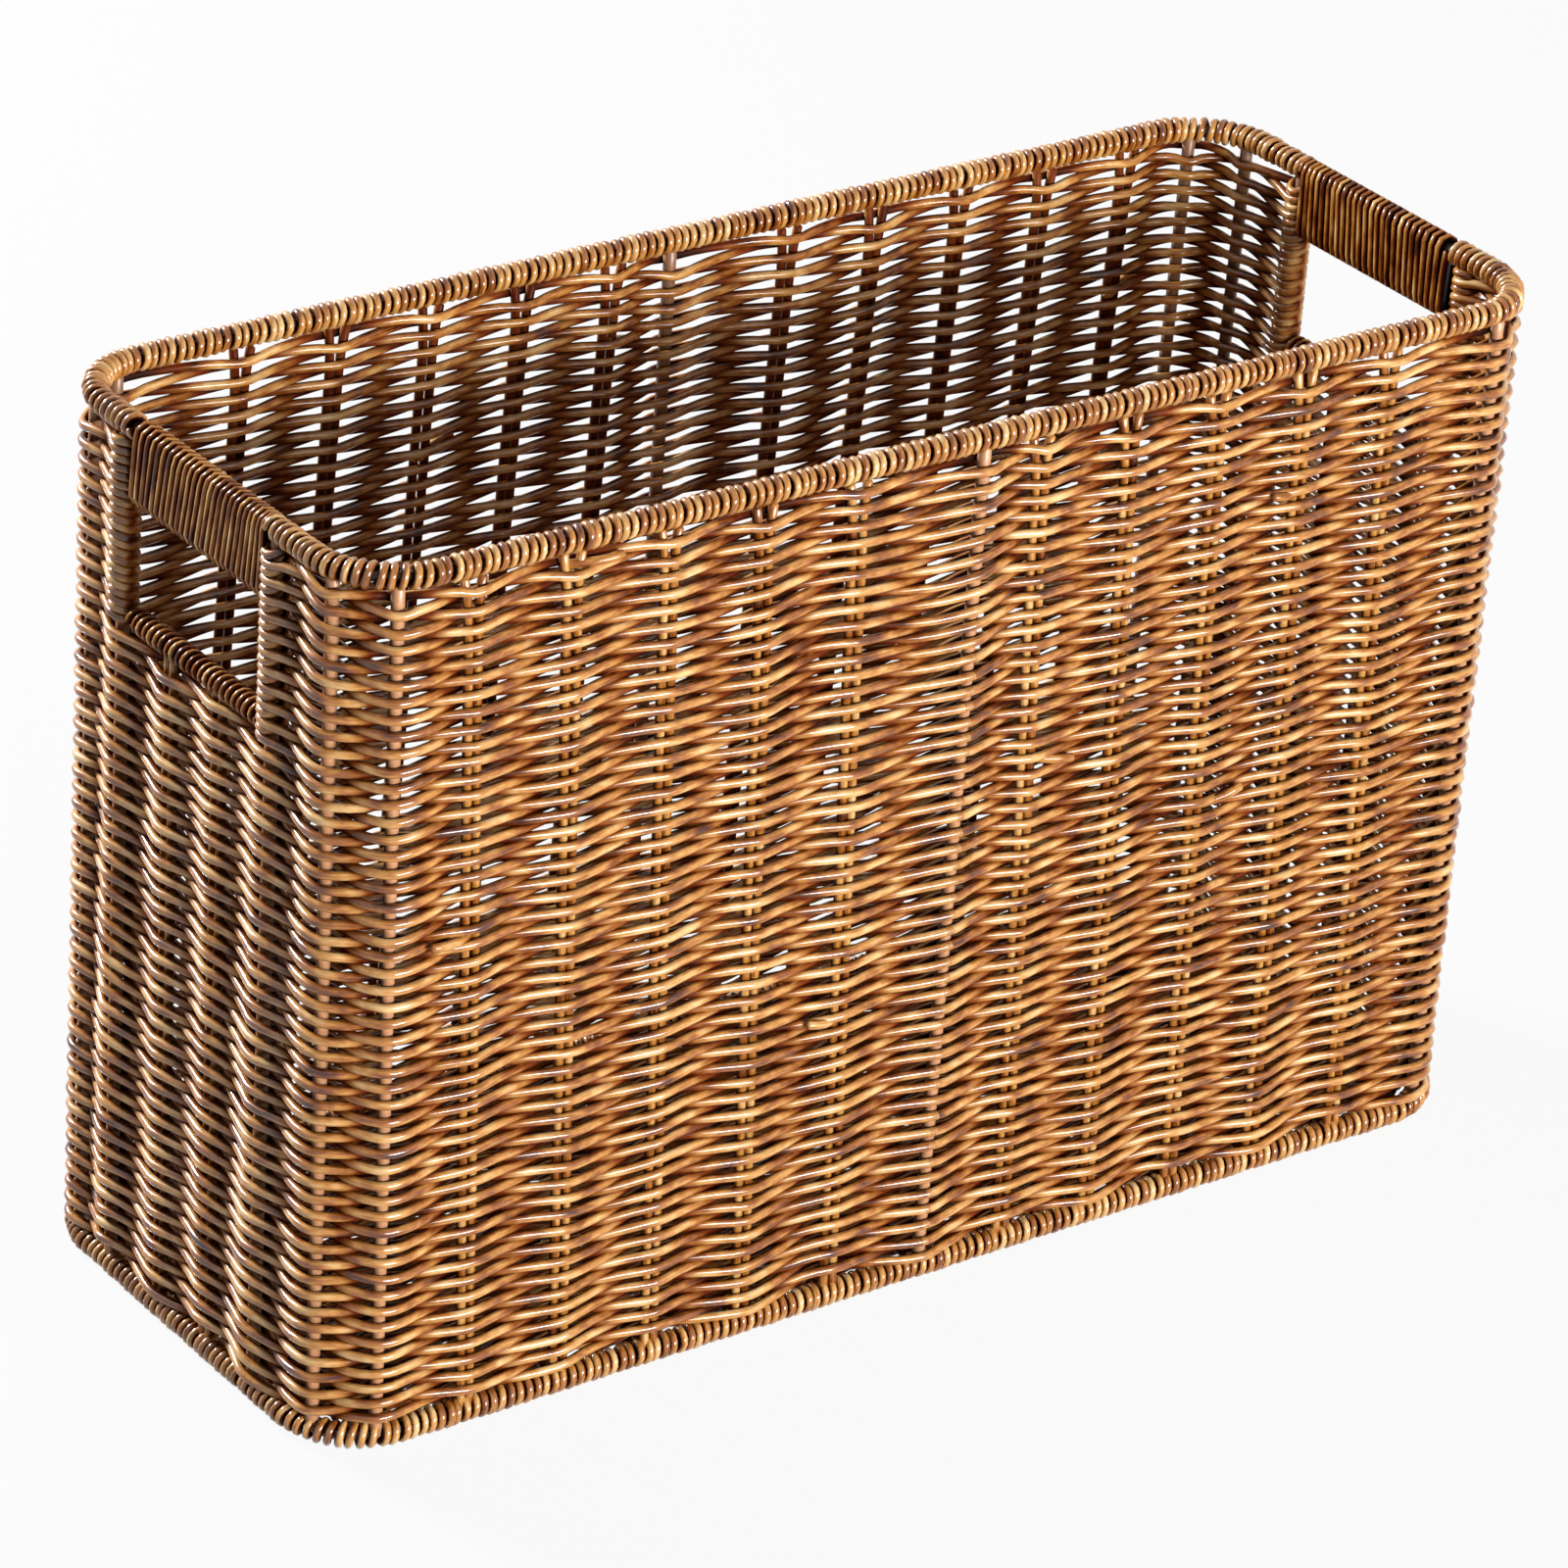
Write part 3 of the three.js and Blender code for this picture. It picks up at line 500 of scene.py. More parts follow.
def place_piece(name, mesh, material, nodes=()):
    """Adds a finished piece, which moves with the basket's one body and stands for the CAD nodes named."""
    piece = bpy.data.objects.new(name, mesh)
    bpy.context.scene.collection.objects.link(piece)
    mesh.materials.clear()
    mesh.materials.append(material)
    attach(piece, "root")
    if nodes:
        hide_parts(*nodes)
    return piece


# The way of a strand from one stake to the next, in shares of the gap: it leaves the one side of the wall and
# reaches the other, and is straightest where it crosses the middle.
GAP_SHARES = np.array([0.0, 0.06, 0.13, 0.22, 0.34, 0.5, 0.66, 0.78, 0.87, 0.94])
CROSSING = np.array([1.0, 0.98, 0.85, 0.64, 0.36, 0.0, -0.36, -0.64, -0.85, -0.98])
CROSSING_SLIP = 0.07  # share of the gap
ROW_UNEVENNESS = 0.2
REACH_UNEVENNESS = (-0.1, 0.12)


def alternate(number):
    """1 for an even number and -1 for an odd one."""
    return 1 if number % 2 == 0 else -1


def weave(places, reaches, side, rng, closed):
    """One row: arrays of (place along it, distance to the front, rise). Its strand passes the stakes in front and
    behind by turns, the first of them in front where side is 1."""
    outs = side * np.where(np.arange(len(places)) % 2 == 0, 1, -1) * reaches
    rises = rng.normal(0, ROW_UNEVENNESS, len(places))
    if closed:
        places = np.append(places, places[0] + ROUND)
        outs = np.append(outs, outs[0])
        rises = np.append(rises, rises[0])
    all_s, all_out, all_rise = [], [], []
    for k, slip in enumerate(rng.uniform(-CROSSING_SLIP, CROSSING_SLIP, len(places) - 1)):
        shares = GAP_SHARES + slip * np.sin(math.pi * GAP_SHARES)
        all_s.append(places[k] + shares * (places[k + 1] - places[k]))
        all_out.append((outs[k] + outs[k + 1]) / 2 + (outs[k] - outs[k + 1]) / 2 * CROSSING)
        all_rise.append(rises[k] + shares * (rises[k + 1] - rises[k]))
    if not closed:
        all_s.append([places[-1]])
        all_out.append([outs[-1]])
        all_rise.append([rises[-1]])
    return np.concatenate(all_s), np.concatenate(all_out), np.concatenate(all_rise)


def row_reaches(sizes, kinds, rng):
    """How far out a strand's middle runs where it passes each stake pair or post."""
    strand, stake, post = sizes.strand / MM, sizes.stake / MM, sizes.post / MM
    return np.where(kinds == PAIR, stake + strand, post + strand) / 2 + rng.uniform(*REACH_UNEVENNESS, len(kinds))


TURN_BACK_STEPS = 6
WRAP_STEPS = 14


def turn_back(place, out, direction, radius, rise):
    """The half turn of a strand round the post beside a hand hole, from the one side to the other and one row up."""
    angle = np.linspace(0, math.pi, TURN_BACK_STEPS + 1)[1:-1]
    return place + direction * radius * np.sin(angle), out * np.cos(angle), rise * angle / math.pi


def wrap_round_post(place, radius, side, pitch):
    """The closed turn of a strand round a post, between two turns back."""
    turn = np.arange(WRAP_STEPS) * 2 * math.pi / WRAP_STEPS
    return place + radius * np.sin(turn), radius * np.cos(turn), pitch * (1.5 - 0.5 * side * np.cos(turn))


def half_row_routes(half, number, places, pitch, sizes, rng):
    """Two rows of the front or back above the sills. They are one strand, which turns back at the posts beside the
    hand holes, and a wrap round each of the two posts."""
    if half == "back":
        chosen = np.arange(RIGHT_FAR_POST, LEFT_FAR_POST + 1)
        here = places[chosen]
    else:
        chosen = np.arange(LEFT_NEAR_POST, RIGHT_NEAR_POST + 1 + len(places)) % len(places)
        here = places[chosen]
        here[chosen > len(places) // 2] -= ROUND
    side = alternate(number + chosen[0])
    reaches = row_reaches(sizes, STOP_KINDS[chosen], rng)
    radius = (sizes.post + sizes.strand) / 2 / MM
    there = weave(here, reaches, side, rng, False)
    right = turn_back(here[-1], side * reaches[-1], 1, radius, pitch)
    back = [part[::-1] for part in weave(here, reaches, -side, rng, False)]
    back[2] = back[2] + pitch
    left = [part[::-1] for part in turn_back(here[0], side * reaches[0], -1, radius, pitch)]
    wraps = [wrap_round_post(places[post], radius, side, pitch) for post in (chosen[0], chosen[-1])]
    return [[np.concatenate(parts) for parts in zip(there, right, back, left)], *wraps]


FOOT_FADE = 45  # height over which the foot's extra unevenness fades
RIM_FADE = 5.5  # depth below the highest row over which the rim's pull fades
RIM_ARCH = 1.9  # how far the highest row rises to the rim between the stakes
ARCH_FLATNESS = 2.2
RIM_EVENING = 0.7  # share of the unevenness that the rim takes away


def row_layer(top, rng):
    """A function that lays a route of a row in the wall: closed points in metres. Rows are uneven, more so near the
    foot, and the highest follow the rim."""
    sway = Ripple(rng, 0.75, 7)
    ripple = Ripple(rng, 0.25, 6, turns=(20, 50), climbs=(0.03, 0.12))

    def lay(route, height, places):
        s, out, rise = route
        near_foot = math.exp(-height / FOOT_FADE)
        near_rim = math.exp((height - top) / RIM_FADE)
        stops = np.append(places, places[0] + ROUND) - places[0]
        gap_share = np.mod(np.interp(np.mod(s - places[0], ROUND), stops, np.arange(len(stops))), 1.0)
        arch = RIM_ARCH * near_rim * np.tanh(ARCH_FLATNESS * np.sin(math.pi * gap_share) ** 2)
        uneven = sway(s, height) * (1 + near_foot) + ripple(s, height) * (0.5 + near_foot)
        return ring_line(s, out, height + rise + arch + uneven * (1 - RIM_EVENING * near_rim)), True

    return lay


def wall_rows(sizes, rng):
    """The strands of all rows: three bands of full rows, and the two halves above the sills."""
    heights = np.linspace(sizes.first_row / MM, sizes.last_row / MM, sizes.rows)
    pitch = heights[1] - heights[0]
    lay = row_layer(heights[-1], rng)
    full = sizes.rows - sizes.open_rows
    bands = [[], [], []]
    halves = {"front": [], "back": []}
    for number, height in enumerate(heights):
        places = stop_places_at(height)
        if number < full:
            route = weave(places, row_reaches(sizes, STOP_KINDS, rng), alternate(number), rng, True)
            bands[number * len(bands) // full].append(lay(route, height, places))
        elif (number - full) % 2 == 0:
            for half, strands in halves.items():
                routes = half_row_routes(half, number, places, pitch, sizes, rng)
                strands += [lay(route, height, places) for route in routes]
    return bands, halves


SPLICES = 16
SPLICE_SHARES = np.array([-0.12, 0.0, 0.12, 0.24, 0.36, 0.48, 0.58])  # of the gap to the next stake
SPLICE_OUTS = np.array([-1.6, -0.6, 1.0, 2.3, 3.2, 3.5, 3.4])
SPLICE_SLOPES = (0.1, 0.34)
SPLICE_GAPS = (20, 26)
# Splice ends are painted evenly a little darker, as shade, at this openness.
SPLICE_OPENNESS = 0.85


def splice_ends(sizes, rng):
    """Where a new strand was laid in, the old one's end comes out beside a stake and lies across the rows. Only the
    two long sides show such ends."""
    pairs = [k for k, kind in enumerate(STOP_KINDS) if kind == PAIR
             and not RIGHT_NEAR_POST < k < RIGHT_FAR_POST and not LEFT_FAR_POST < k < LEFT_NEAR_POST]
    ends = []
    for stop in rng.choice(pairs, SPLICES, replace=False):
        height = rng.uniform(sizes.first_row, sizes.last_row) / MM
        slope = rng.choice((-1, 1)) * rng.uniform(*SPLICE_SLOPES)
        gap = rng.choice((-1, 1)) * rng.uniform(*SPLICE_GAPS)
        along = SPLICE_SHARES * gap
        start = stop_places_at(height)[stop]
        ends.append((ring_line(start + along, SPLICE_OUTS, height + slope * np.abs(along)), False))
    return ends


class BASKET_OT_wall_weave(bpy.types.Operator):
    """Weave the walls: rows of one strand that passes the stakes in front and behind by turns"""
    bl_idname = "basket.wall_weave"
    bl_label = "Wall weave"

    def execute(self, context):
        sizes, resin = context.scene.basket_sizes, strand_resin(context.scene.basket_colours)
        rng = np.random.default_rng(11)
        bands, halves = wall_rows(sizes, rng)
        walls = [f"wall_{side}" for side in FRONT_TO_BACK + LEFT_TO_RIGHT] + [f"wall_corner_{c}" for c in CORNERS]
        for name, strands in zip(("lower", "middle", "upper"), bands):
            mesh = strand_mesh(f"wall_weave_{name}", strands, sizes.strand / 2, rng, wall_openness)
            place_piece(f"wall_weave_{name}", mesh, resin, walls)
        for half, strands in halves.items():
            nodes = [f"wall_{half}"] + [f"wall_corner_{c}" for c in CORNERS if c.startswith(half)]
            mesh = strand_mesh(f"wall_weave_{half}_top", strands, sizes.strand / 2, rng, wall_openness)
            place_piece(f"wall_weave_{half}_top", mesh, resin, nodes)
        ends = splice_ends(sizes, np.random.default_rng(43))
        mesh = strand_mesh("wall_splice_ends", ends, sizes.strand / 2, rng, even_openness(SPLICE_OPENNESS))
        place_piece("wall_splice_ends", mesh, resin)
        return {"FINISHED"}


UPRIGHT_FOOT = 4.0
STAKE_TOP, POST_TOP = HEIGHT - 8.5, HEIGHT - 7.0
END_STAKE_TOP = SILL_AXIS_Z - 2
UPRIGHT_STEPS = 40
STAKE_WANDER, WANDER_HEIGHT = 0.15, 31
# The two stakes of a pair part below the rim: by this share, from so far below the top, over so many millimetres.
PARTING_SHARE, PARTING_DEPTH, PARTING_HEIGHT = 0.8, 18, 9


def upright_points(index, shift, top, rng, wander):
    """The line of a stake or post from the foot to the top. It leans as its places in the rows do."""
    heights = np.linspace(UPRIGHT_FOOT, top, UPRIGHT_STEPS)
    spread = 1 + PARTING_SHARE * np.clip((heights - HEIGHT + PARTING_DEPTH) / PARTING_HEIGHT, 0, 1)
    places = np.array([stop_places_at(h)[index] for h in heights]) + shift * spread
    wave = np.sin(heights / WANDER_HEIGHT + rng.uniform(0, 6)) * wander
    return ring_line(places + wave, rng.uniform(-0.1, 0.1), heights)


def side_of(place):
    """The side of the basket on which a stake stands."""
    for side, middle in END_MIDDLES.items():
        if abs(place - middle) < BEND_Y:
            return side
    return "back" if END_MIDDLES["right"] < place < END_MIDDLES["left"] else "front"


class BASKET_OT_stakes(bpy.types.Operator):
    """Set the stakes that the strands are woven round, two side by side"""
    bl_idname = "basket.stakes"
    bl_label = "Stakes"

    def execute(self, context):
        sizes, resin = context.scene.basket_sizes, stake_resin(context.scene.basket_colours)
        rng = np.random.default_rng(23)
        spacing = sizes.pair_spacing / MM
        groups = {side: [] for side in FRONT_TO_BACK + LEFT_TO_RIGHT}
        for index, kind in enumerate(STOP_KINDS):
            if kind != PAIR:
                continue
            side = side_of(STOP_PLACES[index])
            top = END_STAKE_TOP if side in LEFT_TO_RIGHT else STAKE_TOP
            for shift in (-spacing / 2, spacing / 2):
                points = upright_points(index, shift, top + rng.uniform(-0.3, 0.6), rng, STAKE_WANDER)
                groups[side].append((points, False))
        for side, strands in groups.items():
            nodes = [f"stake_pair_{side}_{n:02d}" for n in range(1, len(strands) // 2 + 1)]
            mesh = strand_mesh(f"stakes_{side}", strands, sizes.stake / 2, rng, upright_openness)
            place_piece(f"stakes_{side}", mesh, resin, nodes)
        return {"FINISHED"}


class BASKET_OT_posts(bpy.types.Operator):
    """Set the coated steel posts: two in each corner, one in the middle of each long side, one beside each hand hole"""
    bl_idname = "basket.posts"
    bl_label = "Posts"

    def execute(self, context):
        sizes, coating = context.scene.basket_sizes, steel_coating(context.scene.basket_colours)
        rng = np.random.default_rng(29)
        names = ["centre_post_front"]
        for corner in ("front_right", "back_right", "back_left", "front_left"):
            turn = [f"corner_post_{corner}_side", f"corner_post_{corner}_end", f"handle_post_{corner}"]
            names += turn if corner in ("front_right", "back_left") else reversed(turn)
            if corner == "back_right":
                names.append("centre_post_back")
        posts = [index for index, kind in enumerate(STOP_KINDS) if kind == POST]
        if len(posts) != len(names):
            raise RuntimeError("the posts don't match their names")
        for index, name in zip(posts, names):
            points = upright_points(index, 0.0, POST_TOP, rng, 0.0)
            mesh = strand_mesh(name + "_coated", [(points, False)], sizes.post / 2, rng, upright_openness, resolution=4)
            place_piece(name + "_coated", mesh, coating, [name])
        return {"FINISHED"}


WINDING_GAP = 0.15  # between a wire and the strand that is wound round it
TURN_STEPS = 12
TURN_SWELL = (-0.25, 0.2)
RIM_UNEVENNESS, SILL_UNEVENNESS, GRIP_UNEVENNESS = 0.26, 0.12, 0.12
RIM_LAP = 0.4  # how far a rim's turns reach under the grip's
GRIP_OVERRUN = 3.5  # how far the last turn of a grip goes past the solid
GRIP_SKEW = 3.0  # how far a grip's turns lean to the right, from its foot to its top
GRIP_STEPS = 22
SILL_OVERRUN, SILL_SHORTFALL = 3.0, 1.0  # how far a sill's first and last turns are past and short of the solid
SILL_SINK = 0.2  # how much closer to its wire a sill's strand lies
# The rims' copy of the resin is painted a little lighter, as light, and the grips' a little darker, as shade.
RIM_PAINTED_LIGHT = -0.02
GRIP_PAINTED_SHADE, GRIP_IOR, GRIP_GLOSS = 0.015, 1.12, 0.45
# Where the painted shade between a grip's and a sill's turns ends and where they are open, as shares of the strand's
# thickness.
GRIP_OPENNESS, SILL_OPENNESS = (0.7, 0.99), (0.58, 0.96)


def whipping(start, end, height, radius, pitch, rng, unevenness):
    """A strand wound round the ring's line from start to end: arrays of (place along it, distance out, height)."""
    turns = max(1, round(abs(end - start) / pitch))
    steps = turns * TURN_STEPS
    share = np.arange(steps + 1) / steps
    knots = rng.normal(0, unevenness, 2 * turns + 1)
    wander = np.interp(share * turns * 2, np.arange(2 * turns + 1), knots)
    swell = np.interp(share * turns, np.arange(turns + 1), rng.uniform(*TURN_SWELL, turns + 1))
    angle = share * turns * 2 * math.pi
    s = start + (end - start) * share + wander
    return s, (radius + swell) * np.cos(angle), height + (radius + swell) * np.sin(angle)


class BASKET_OT_rims(bpy.types.Operator):
    """Whip the top and foot rings with one strand each way between the grips"""
    bl_idname = "basket.rims"
    bl_label = "Rims"

    def execute(self, context):
        sizes, colours = context.scene.basket_sizes, context.scene.basket_colours
        rng = np.random.default_rng(31)
        resin = material_named("varnished_resin_whipping", lambda name: resin_material(name, colours, RIM_PAINTED_LIGHT))
        thick = sizes.whipping / 2 / MM
        radius = FRAME_WIRE / 2 + sizes.whipping / 2 / MM + WINDING_GAP
        pitch = sizes.rim_pitch / MM
        top = HEIGHT - radius - thick
        hole = WINDING_HIGH.y - RIM_LAP
        right, left = END_MIDDLES["right"], END_MIDDLES["left"]
        spans = {"front": (left + hole - ROUND, right - hole - GRIP_OVERRUN),
                 "back": (right + hole, left - hole - GRIP_OVERRUN)}
        for half, (start, end) in spans.items():
            s, out, z = whipping(start, end, top, radius, pitch, rng, RIM_UNEVENNESS)
            wound = winding_openness(top, top, FRAME_WIRE / 2)
            mesh = strand_mesh(f"top_rim_{half}", [(ring_line(s, out, z), False)], sizes.whipping / 2, rng, wound)
            place_piece(f"top_rim_{half}", mesh, resin, [f"top_binding_{half}"])
        foot = radius + thick
        s, out, z = whipping(0.0, ROUND, foot, radius, pitch, rng, RIM_UNEVENNESS)
        wound = winding_openness(foot, foot, FRAME_WIRE / 2)
        mesh = strand_mesh("foot_rim", [(ring_line(s, out, z)[:-1], True)], sizes.whipping / 2, rng, wound)
        place_piece("foot_rim", mesh, resin, ["foot_binding"])
        return {"FINISHED"}


def flat_turn(turns, low, high, radius):
    """Where a strand is after so many turns round a grip, whose section is a flat loop from low to high: arrays of
    (distance out, height). A turn goes over the top, down the outside, under the foot and up the inside."""
    straight = high - low
    arc = math.pi * radius
    run = np.mod(turns, 1.0) * (2 * straight + 2 * arc)
    over, under = run / radius, (run - arc - straight) / radius
    parts = [run < arc, run < arc + straight, run < 2 * arc + straight]
    out = np.select(parts, [-radius * np.cos(over), radius, radius * np.cos(under)], -radius)
    z = np.select(parts, [high + radius * np.sin(over), high - (run - arc), low - radius * np.sin(under)],
                  low + (run - 2 * arc - straight))
    return out, z


class BASKET_OT_hand_holes(bpy.types.Operator):
    """Wind the grip over each hand hole and the sill under it"""
    bl_idname = "basket.hand_holes"
    bl_label = "Hand holes"

    def execute(self, context):
        sizes, colours = context.scene.basket_sizes, context.scene.basket_colours
        rng = np.random.default_rng(37)
        resin = material_named("varnished_resin_grip", lambda name: resin_material(
            name, colours, GRIP_PAINTED_SHADE, GRIP_IOR, GRIP_GLOSS))
        thick = sizes.whipping / 2 / MM
        radius = FRAME_WIRE / 2 + thick + WINDING_GAP
        top = HEIGHT - radius - thick
        low = WINDING_LOW.z + radius + thick
        half_width = WINDING_HIGH.y - thick
        turns = sizes.grip_turns
        share = np.arange(turns * GRIP_STEPS + 1) / (turns * GRIP_STEPS)
        for side, middle in END_MIDDLES.items():
            knots = rng.normal(0, GRIP_UNEVENNESS, turns + 1)
            wander = np.interp(share * turns, np.arange(turns + 1), knots)
            out, z = flat_turn(share * turns, low, top, radius)
            skew = GRIP_SKEW * (z - low) / (top - low) * np.sin(math.pi * share) ** 0.5
            s = middle + half_width - (2 * half_width + GRIP_OVERRUN) * share + wander + skew
            wound = winding_openness(low, top, FRAME_WIRE / 2, *GRIP_OPENNESS)
            mesh = strand_mesh(f"grip_{side}", [(ring_line(s, out, z), False)], sizes.whipping / 2, rng, wound)
            place_piece(f"grip_{side}", mesh, resin, [f"grip_winding_{side}"])

            start, end = middle - half_width - SILL_OVERRUN, middle + half_width - SILL_SHORTFALL
            pitch = 2 * half_width / sizes.sill_turns
            s, out, z = whipping(start, end, SILL_AXIS_Z, radius - SILL_SINK, pitch, rng, SILL_UNEVENNESS)
            wound = winding_openness(SILL_AXIS_Z, SILL_AXIS_Z, FRAME_WIRE / 2, *SILL_OPENNESS)
            mesh = strand_mesh(f"sill_{side}", [(ring_line(s, out, z), False)], sizes.whipping / 2, rng, wound)
            place_piece(f"sill_{side}", mesh, resin, [f"sill_winding_{side}"])
        return {"FINISHED"}


BASE_MARGIN = 0.4  # between the outermost rows and the edge of the base's solid
BASE_LAP = 1.0  # how far strands and stakes reach into the foot rim
BASE_EDGE_REACH = 0.8  # how far a strand's ends are from the base's middle height
BASE_DRIFT, DRIFT_LENGTH, DRIFT_WIDTH = 0.3, 37, 9
BASE_STAKE_POINTS = 8
# The base's strands and stakes are painted evenly darker, as shade, at this openness, and get no varnish gloss.
BASE_OPENNESS = 0.6


def base_reach(place, half_width, half_length):
    """How far the base goes each way at a place across its width, inside the foot rim's round corners."""
    inset = max(0.0, abs(place) - (half_width - BEND))
    return half_length - (BEND - math.sqrt(max(0.0, BEND ** 2 - inset ** 2))) + BASE_LAP


class BASKET_OT_base(bpy.types.Operator):
    """Weave the base from end to end over cross stakes"""
    bl_idname = "basket.base"
    bl_label = "Base"

    def execute(self, context):
        sizes, colours = context.scene.basket_sizes, context.scene.basket_colours
        rng = np.random.default_rng(41)
        middle = (BASE_LOW.z + BASE_HIGH.z) / 2
        half_x, half_y = BASE_HIGH.x, BASE_HIGH.y
        stops = np.array([PAIR_PITCH * k for k in range(-PAIRS_PER_HALF - 1, PAIRS_PER_HALF + 2)])
        stake_reaches = np.full(len(stops), (sizes.stake + sizes.strand) / 2 / MM)
        reaches = np.concatenate([[BASE_EDGE_REACH], stake_reaches, [BASE_EDGE_REACH]])
        strands = []
        for number, y in enumerate(np.linspace(-half_y + BASE_MARGIN, half_y - BASE_MARGIN, sizes.base_rows)):
            reach_x = base_reach(y, half_y, half_x)
            places = np.concatenate([[-reach_x], stops, [reach_x]])
            s, up, rise = weave(places, reaches, alternate(number), rng, False)
            drift = BASE_DRIFT * np.sin(s / DRIFT_LENGTH + y / DRIFT_WIDTH)
            strands.append((np.column_stack([s, y + rise + drift, middle + up]) * MM, False))
        mesh = strand_mesh("base_weave_strands", strands, sizes.strand / 2, rng, even_openness(BASE_OPENNESS))
        place_piece("base_weave_strands", mesh, strand_resin(colours), ["base_weave"])

        stakes = []
        spacing = sizes.pair_spacing / MM
        for x in stops:
            reach_y = base_reach(x, half_x, half_y)
            ys = np.linspace(-reach_y, reach_y, BASE_STAKE_POINTS)
            for shift in (-spacing / 2, spacing / 2):
                stakes.append((np.column_stack([x + shift + 0 * ys, ys, middle + 0 * ys]) * MM, False))
        mesh = strand_mesh("base_stakes", stakes, sizes.stake / 2, rng, even_openness(BASE_OPENNESS))
        place_piece("base_stakes", mesh, stake_resin(colours), ["base_weave"])
        return {"FINISHED"}


class BASKET_OT_frame_finish(bpy.types.Operator):
    """Give the wires and cores inside the rims, grips and sills their coating"""
    bl_idname = "basket.frame_finish"
    bl_label = "Frame finish"

    def execute(self, context):
        coating = steel_coating(context.scene.basket_colours)
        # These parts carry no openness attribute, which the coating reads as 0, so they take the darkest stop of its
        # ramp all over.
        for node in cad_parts.values():
            if node.hide_render:
                continue
            node.data.materials.clear()
            node.data.materials.append(coating)
        return {"FINISHED"}


CAMERA_AZIMUTH, CAMERA_ELEVATION, CAMERA_ROLL = -37.28, 27.42, 4.07  # degrees
CAMERA_DISTANCE = 2163.4
CAMERA_TARGET = (-3.05, 0.0, 130.4)
CAMERA_SENSOR = 36
CAMERA_CLIP = (0.05, 50)  # metres
FOCAL_PIXELS, FRAME_PIXELS = 7405.5, 1600
FLOOR_HALF_SIZE = 6.0  # metres
PAPER_GLOW = 0.93  # share of pure white that the camera sees on the paper
DIFFUSE_SKY = 0.035
# Softboxes: name, place and target in metres, width and height in metres, power in watts.
SOFTBOXES = (
    ("key_softbox", (0.28, -2.08, 0.58), (0, 0, 0.14), (1.2, 0.36), 88),
    ("back_softbox", (-0.62, 1.70, 1.05), (0, 0, 0.14), (0.4, 0.3), 93),
)


def seen_by_camera(tree):
    """The socket that is 1 where a ray from the camera arrives straight, off a gloss or through glass, and else 0."""
    path = add_node(tree, "ShaderNodeLightPath")
    direct = add_node(tree, "ShaderNodeMath", {0: path.outputs["Is Camera Ray"], 1: path.outputs["Is Glossy Ray"]},
                      operation="ADD", use_clamp=True)
    seen = add_node(tree, "ShaderNodeMath", {0: direct.outputs[0], 1: path.outputs["Is Transmission Ray"]},
                    operation="ADD", use_clamp=True)
    return seen.outputs[0]


def paper_material(rgb):
    """Seamless studio paper: matt, and nearly white to the camera so that only the basket's shadow shows."""
    material, tree = fresh_material("studio_paper")
    paper = add_node(tree, "ShaderNodeBsdfDiffuse", {"Color": (*rgb, 1)})
    white = add_node(tree, "ShaderNodeEmission", {"Strength": 1.0})
    share = add_node(tree, "ShaderNodeMath", {0: seen_by_camera(tree), 1: PAPER_GLOW}, operation="MULTIPLY")
    mix = add_node(tree, "ShaderNodeMixShader", {0: share.outputs[0], 1: paper.outputs[0], 2: white.outputs[0]})
    add_node(tree, "ShaderNodeOutputMaterial", {"Surface": mix.outputs[0]})
    return material


def studio_world():
    """White to the camera and in reflections, and a low even light on the object."""
    world = bpy.data.worlds.new("studio")
    world.use_nodes = True
    tree = world.node_tree
    tree.nodes.clear()
    strength = add_node(tree, "ShaderNodeMapRange", {
        "Value": seen_by_camera(tree), "To Min": DIFFUSE_SKY, "To Max": 1.0})
    sky = add_node(tree, "ShaderNodeBackground", {"Strength": strength.outputs["Result"], "Color": (1, 1, 1, 1)})
    add_node(tree, "ShaderNodeOutputWorld", {"Surface": sky.outputs[0]})
    return world


def studio_camera():
    """The camera, fitted to the straight edges of the basket's rims and sides."""
    azimuth, elevation, roll = (math.radians(a) for a in (CAMERA_AZIMUTH, CAMERA_ELEVATION, CAMERA_ROLL))
    back = Vector((math.sin(azimuth) * math.cos(elevation), -math.cos(azimuth) * math.cos(elevation),
                   math.sin(elevation)))
    right = Vector((0, 0, 1)).cross(back).normalized()
    up = back.cross(right)
    across = right * math.cos(roll) + up * math.sin(roll)
    upward = up * math.cos(roll) - right * math.sin(roll)
    data = bpy.data.cameras.new("camera")
    data.sensor_width = CAMERA_SENSOR
    data.lens = FOCAL_PIXELS / FRAME_PIXELS * data.sensor_width
    data.clip_start, data.clip_end = CAMERA_CLIP
    camera = bpy.data.objects.new("camera", data)
    place = Matrix.Translation(Vector(CAMERA_TARGET) * MM + back * CAMERA_DISTANCE * MM)
    camera.matrix_world = place @ Matrix((across, upward, back)).transposed().to_4x4()
    return camera


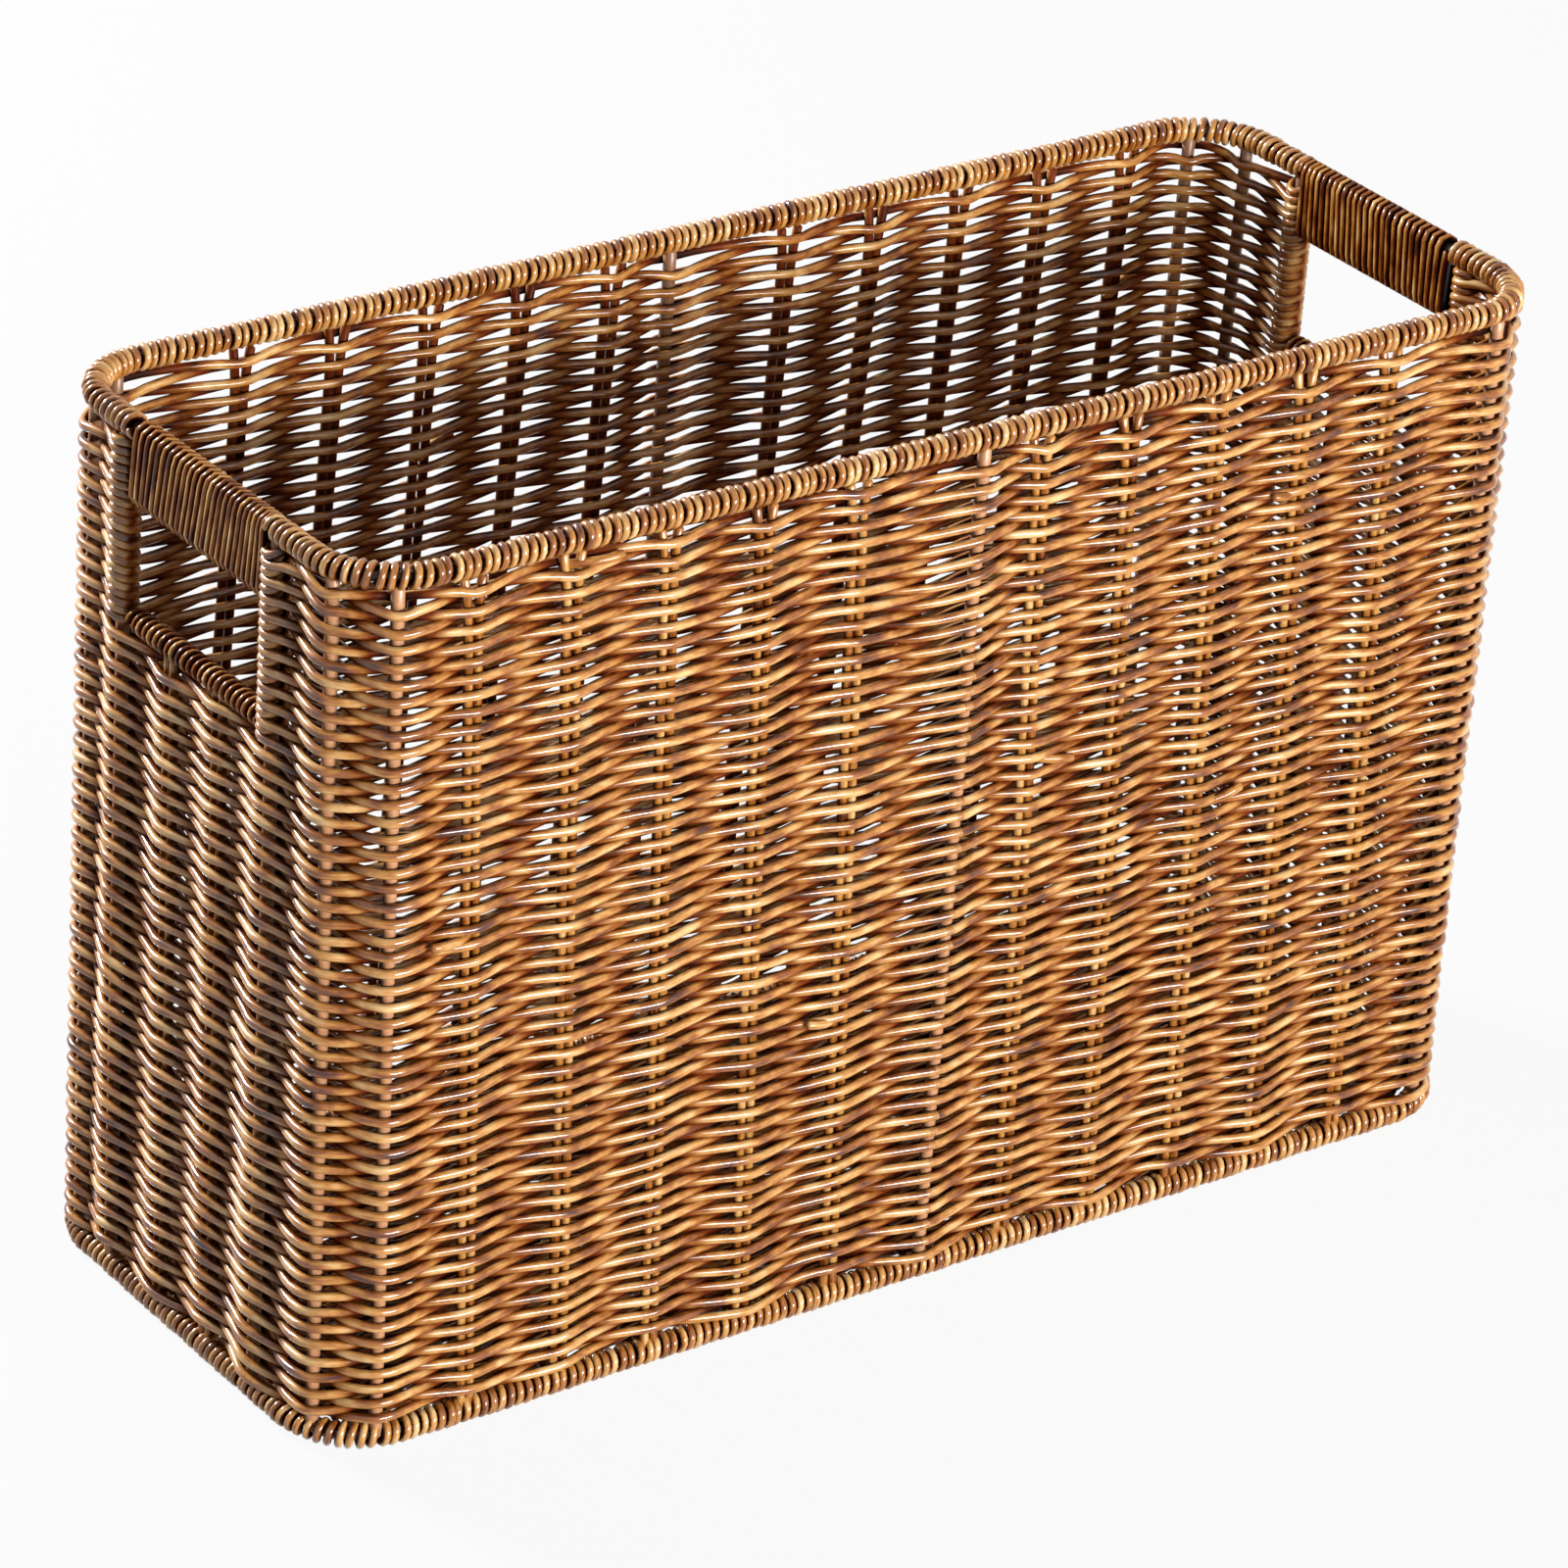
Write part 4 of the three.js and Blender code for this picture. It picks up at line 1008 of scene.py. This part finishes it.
class BASKET_OT_stage(bpy.types.Operator):
    """Set the camera, the soft studio light and the pale floor"""
    bl_idname = "basket.stage"
    bl_label = "Stage"

    def execute(self, context):
        scene = context.scene
        scene.camera = studio_camera()
        scene.collection.objects.link(scene.camera)
        scene.view_settings.view_transform = "Standard"
        scene.world = studio_world()

        shape = bmesh.new()
        bmesh.ops.create_grid(shape, x_segments=1, y_segments=1, size=FLOOR_HALF_SIZE)
        mesh = bpy.data.meshes.new("floor")
        shape.to_mesh(mesh)
        shape.free()
        floor = bpy.data.objects.new("floor", mesh)
        scene.collection.objects.link(floor)
        floor.data.materials.append(paper_material(scene.basket_colours.floor))
        for name, place, target, size, power in SOFTBOXES:
            light = bpy.data.lights.new(name, "AREA")
            light.shape = "RECTANGLE"
            light.size, light.size_y = size
            light.energy = power
            lamp = bpy.data.objects.new(name, light)
            lamp.location = place
            lamp.rotation_euler = (Vector(target) - Vector(place)).to_track_quat("-Z", "Y").to_euler()
            scene.collection.objects.link(lamp)
        return {"FINISHED"}


class BASKET_PT_panel(bpy.types.Panel):
    """The basket's settings and the steps that make it"""
    bl_idname = "BASKET_PT_panel"
    bl_label = "Magazine basket"
    bl_space_type = "VIEW_3D"
    bl_region_type = "UI"
    bl_category = "Basket"

    def draw(self, context):
        for group in (context.scene.basket_sizes, context.scene.basket_colours):
            box = self.layout.box()
            for name in group.__annotations__:
                box.prop(group, name)
        for operator in OPERATORS:
            self.layout.operator(operator.bl_idname)


OPERATORS = (
    BASKET_OT_stage,
    BASKET_OT_wall_weave,
    BASKET_OT_stakes,
    BASKET_OT_posts,
    BASKET_OT_rims,
    BASKET_OT_hand_holes,
    BASKET_OT_base,
    BASKET_OT_frame_finish,
)
CLASSES = (BasketSizes, BasketColours, *OPERATORS, BASKET_PT_panel)


def register():
    for cls in CLASSES:
        bpy.utils.register_class(cls)
    bpy.types.Scene.basket_sizes = bpy.props.PointerProperty(type=BasketSizes)
    bpy.types.Scene.basket_colours = bpy.props.PointerProperty(type=BasketColours)


def unregister():
    del bpy.types.Scene.basket_colours
    del bpy.types.Scene.basket_sizes
    for cls in reversed(CLASSES):
        bpy.utils.unregister_class(cls)


def main():
    register()
    bpy.ops.basket.stage()
    bpy.ops.basket.wall_weave()
    bpy.ops.basket.stakes()
    bpy.ops.basket.posts()
    bpy.ops.basket.rims()
    bpy.ops.basket.hand_holes()
    bpy.ops.basket.base()
    bpy.ops.basket.frame_finish()
    bpy.context.view_layer.update()


if __name__ == "__main__":
    main()
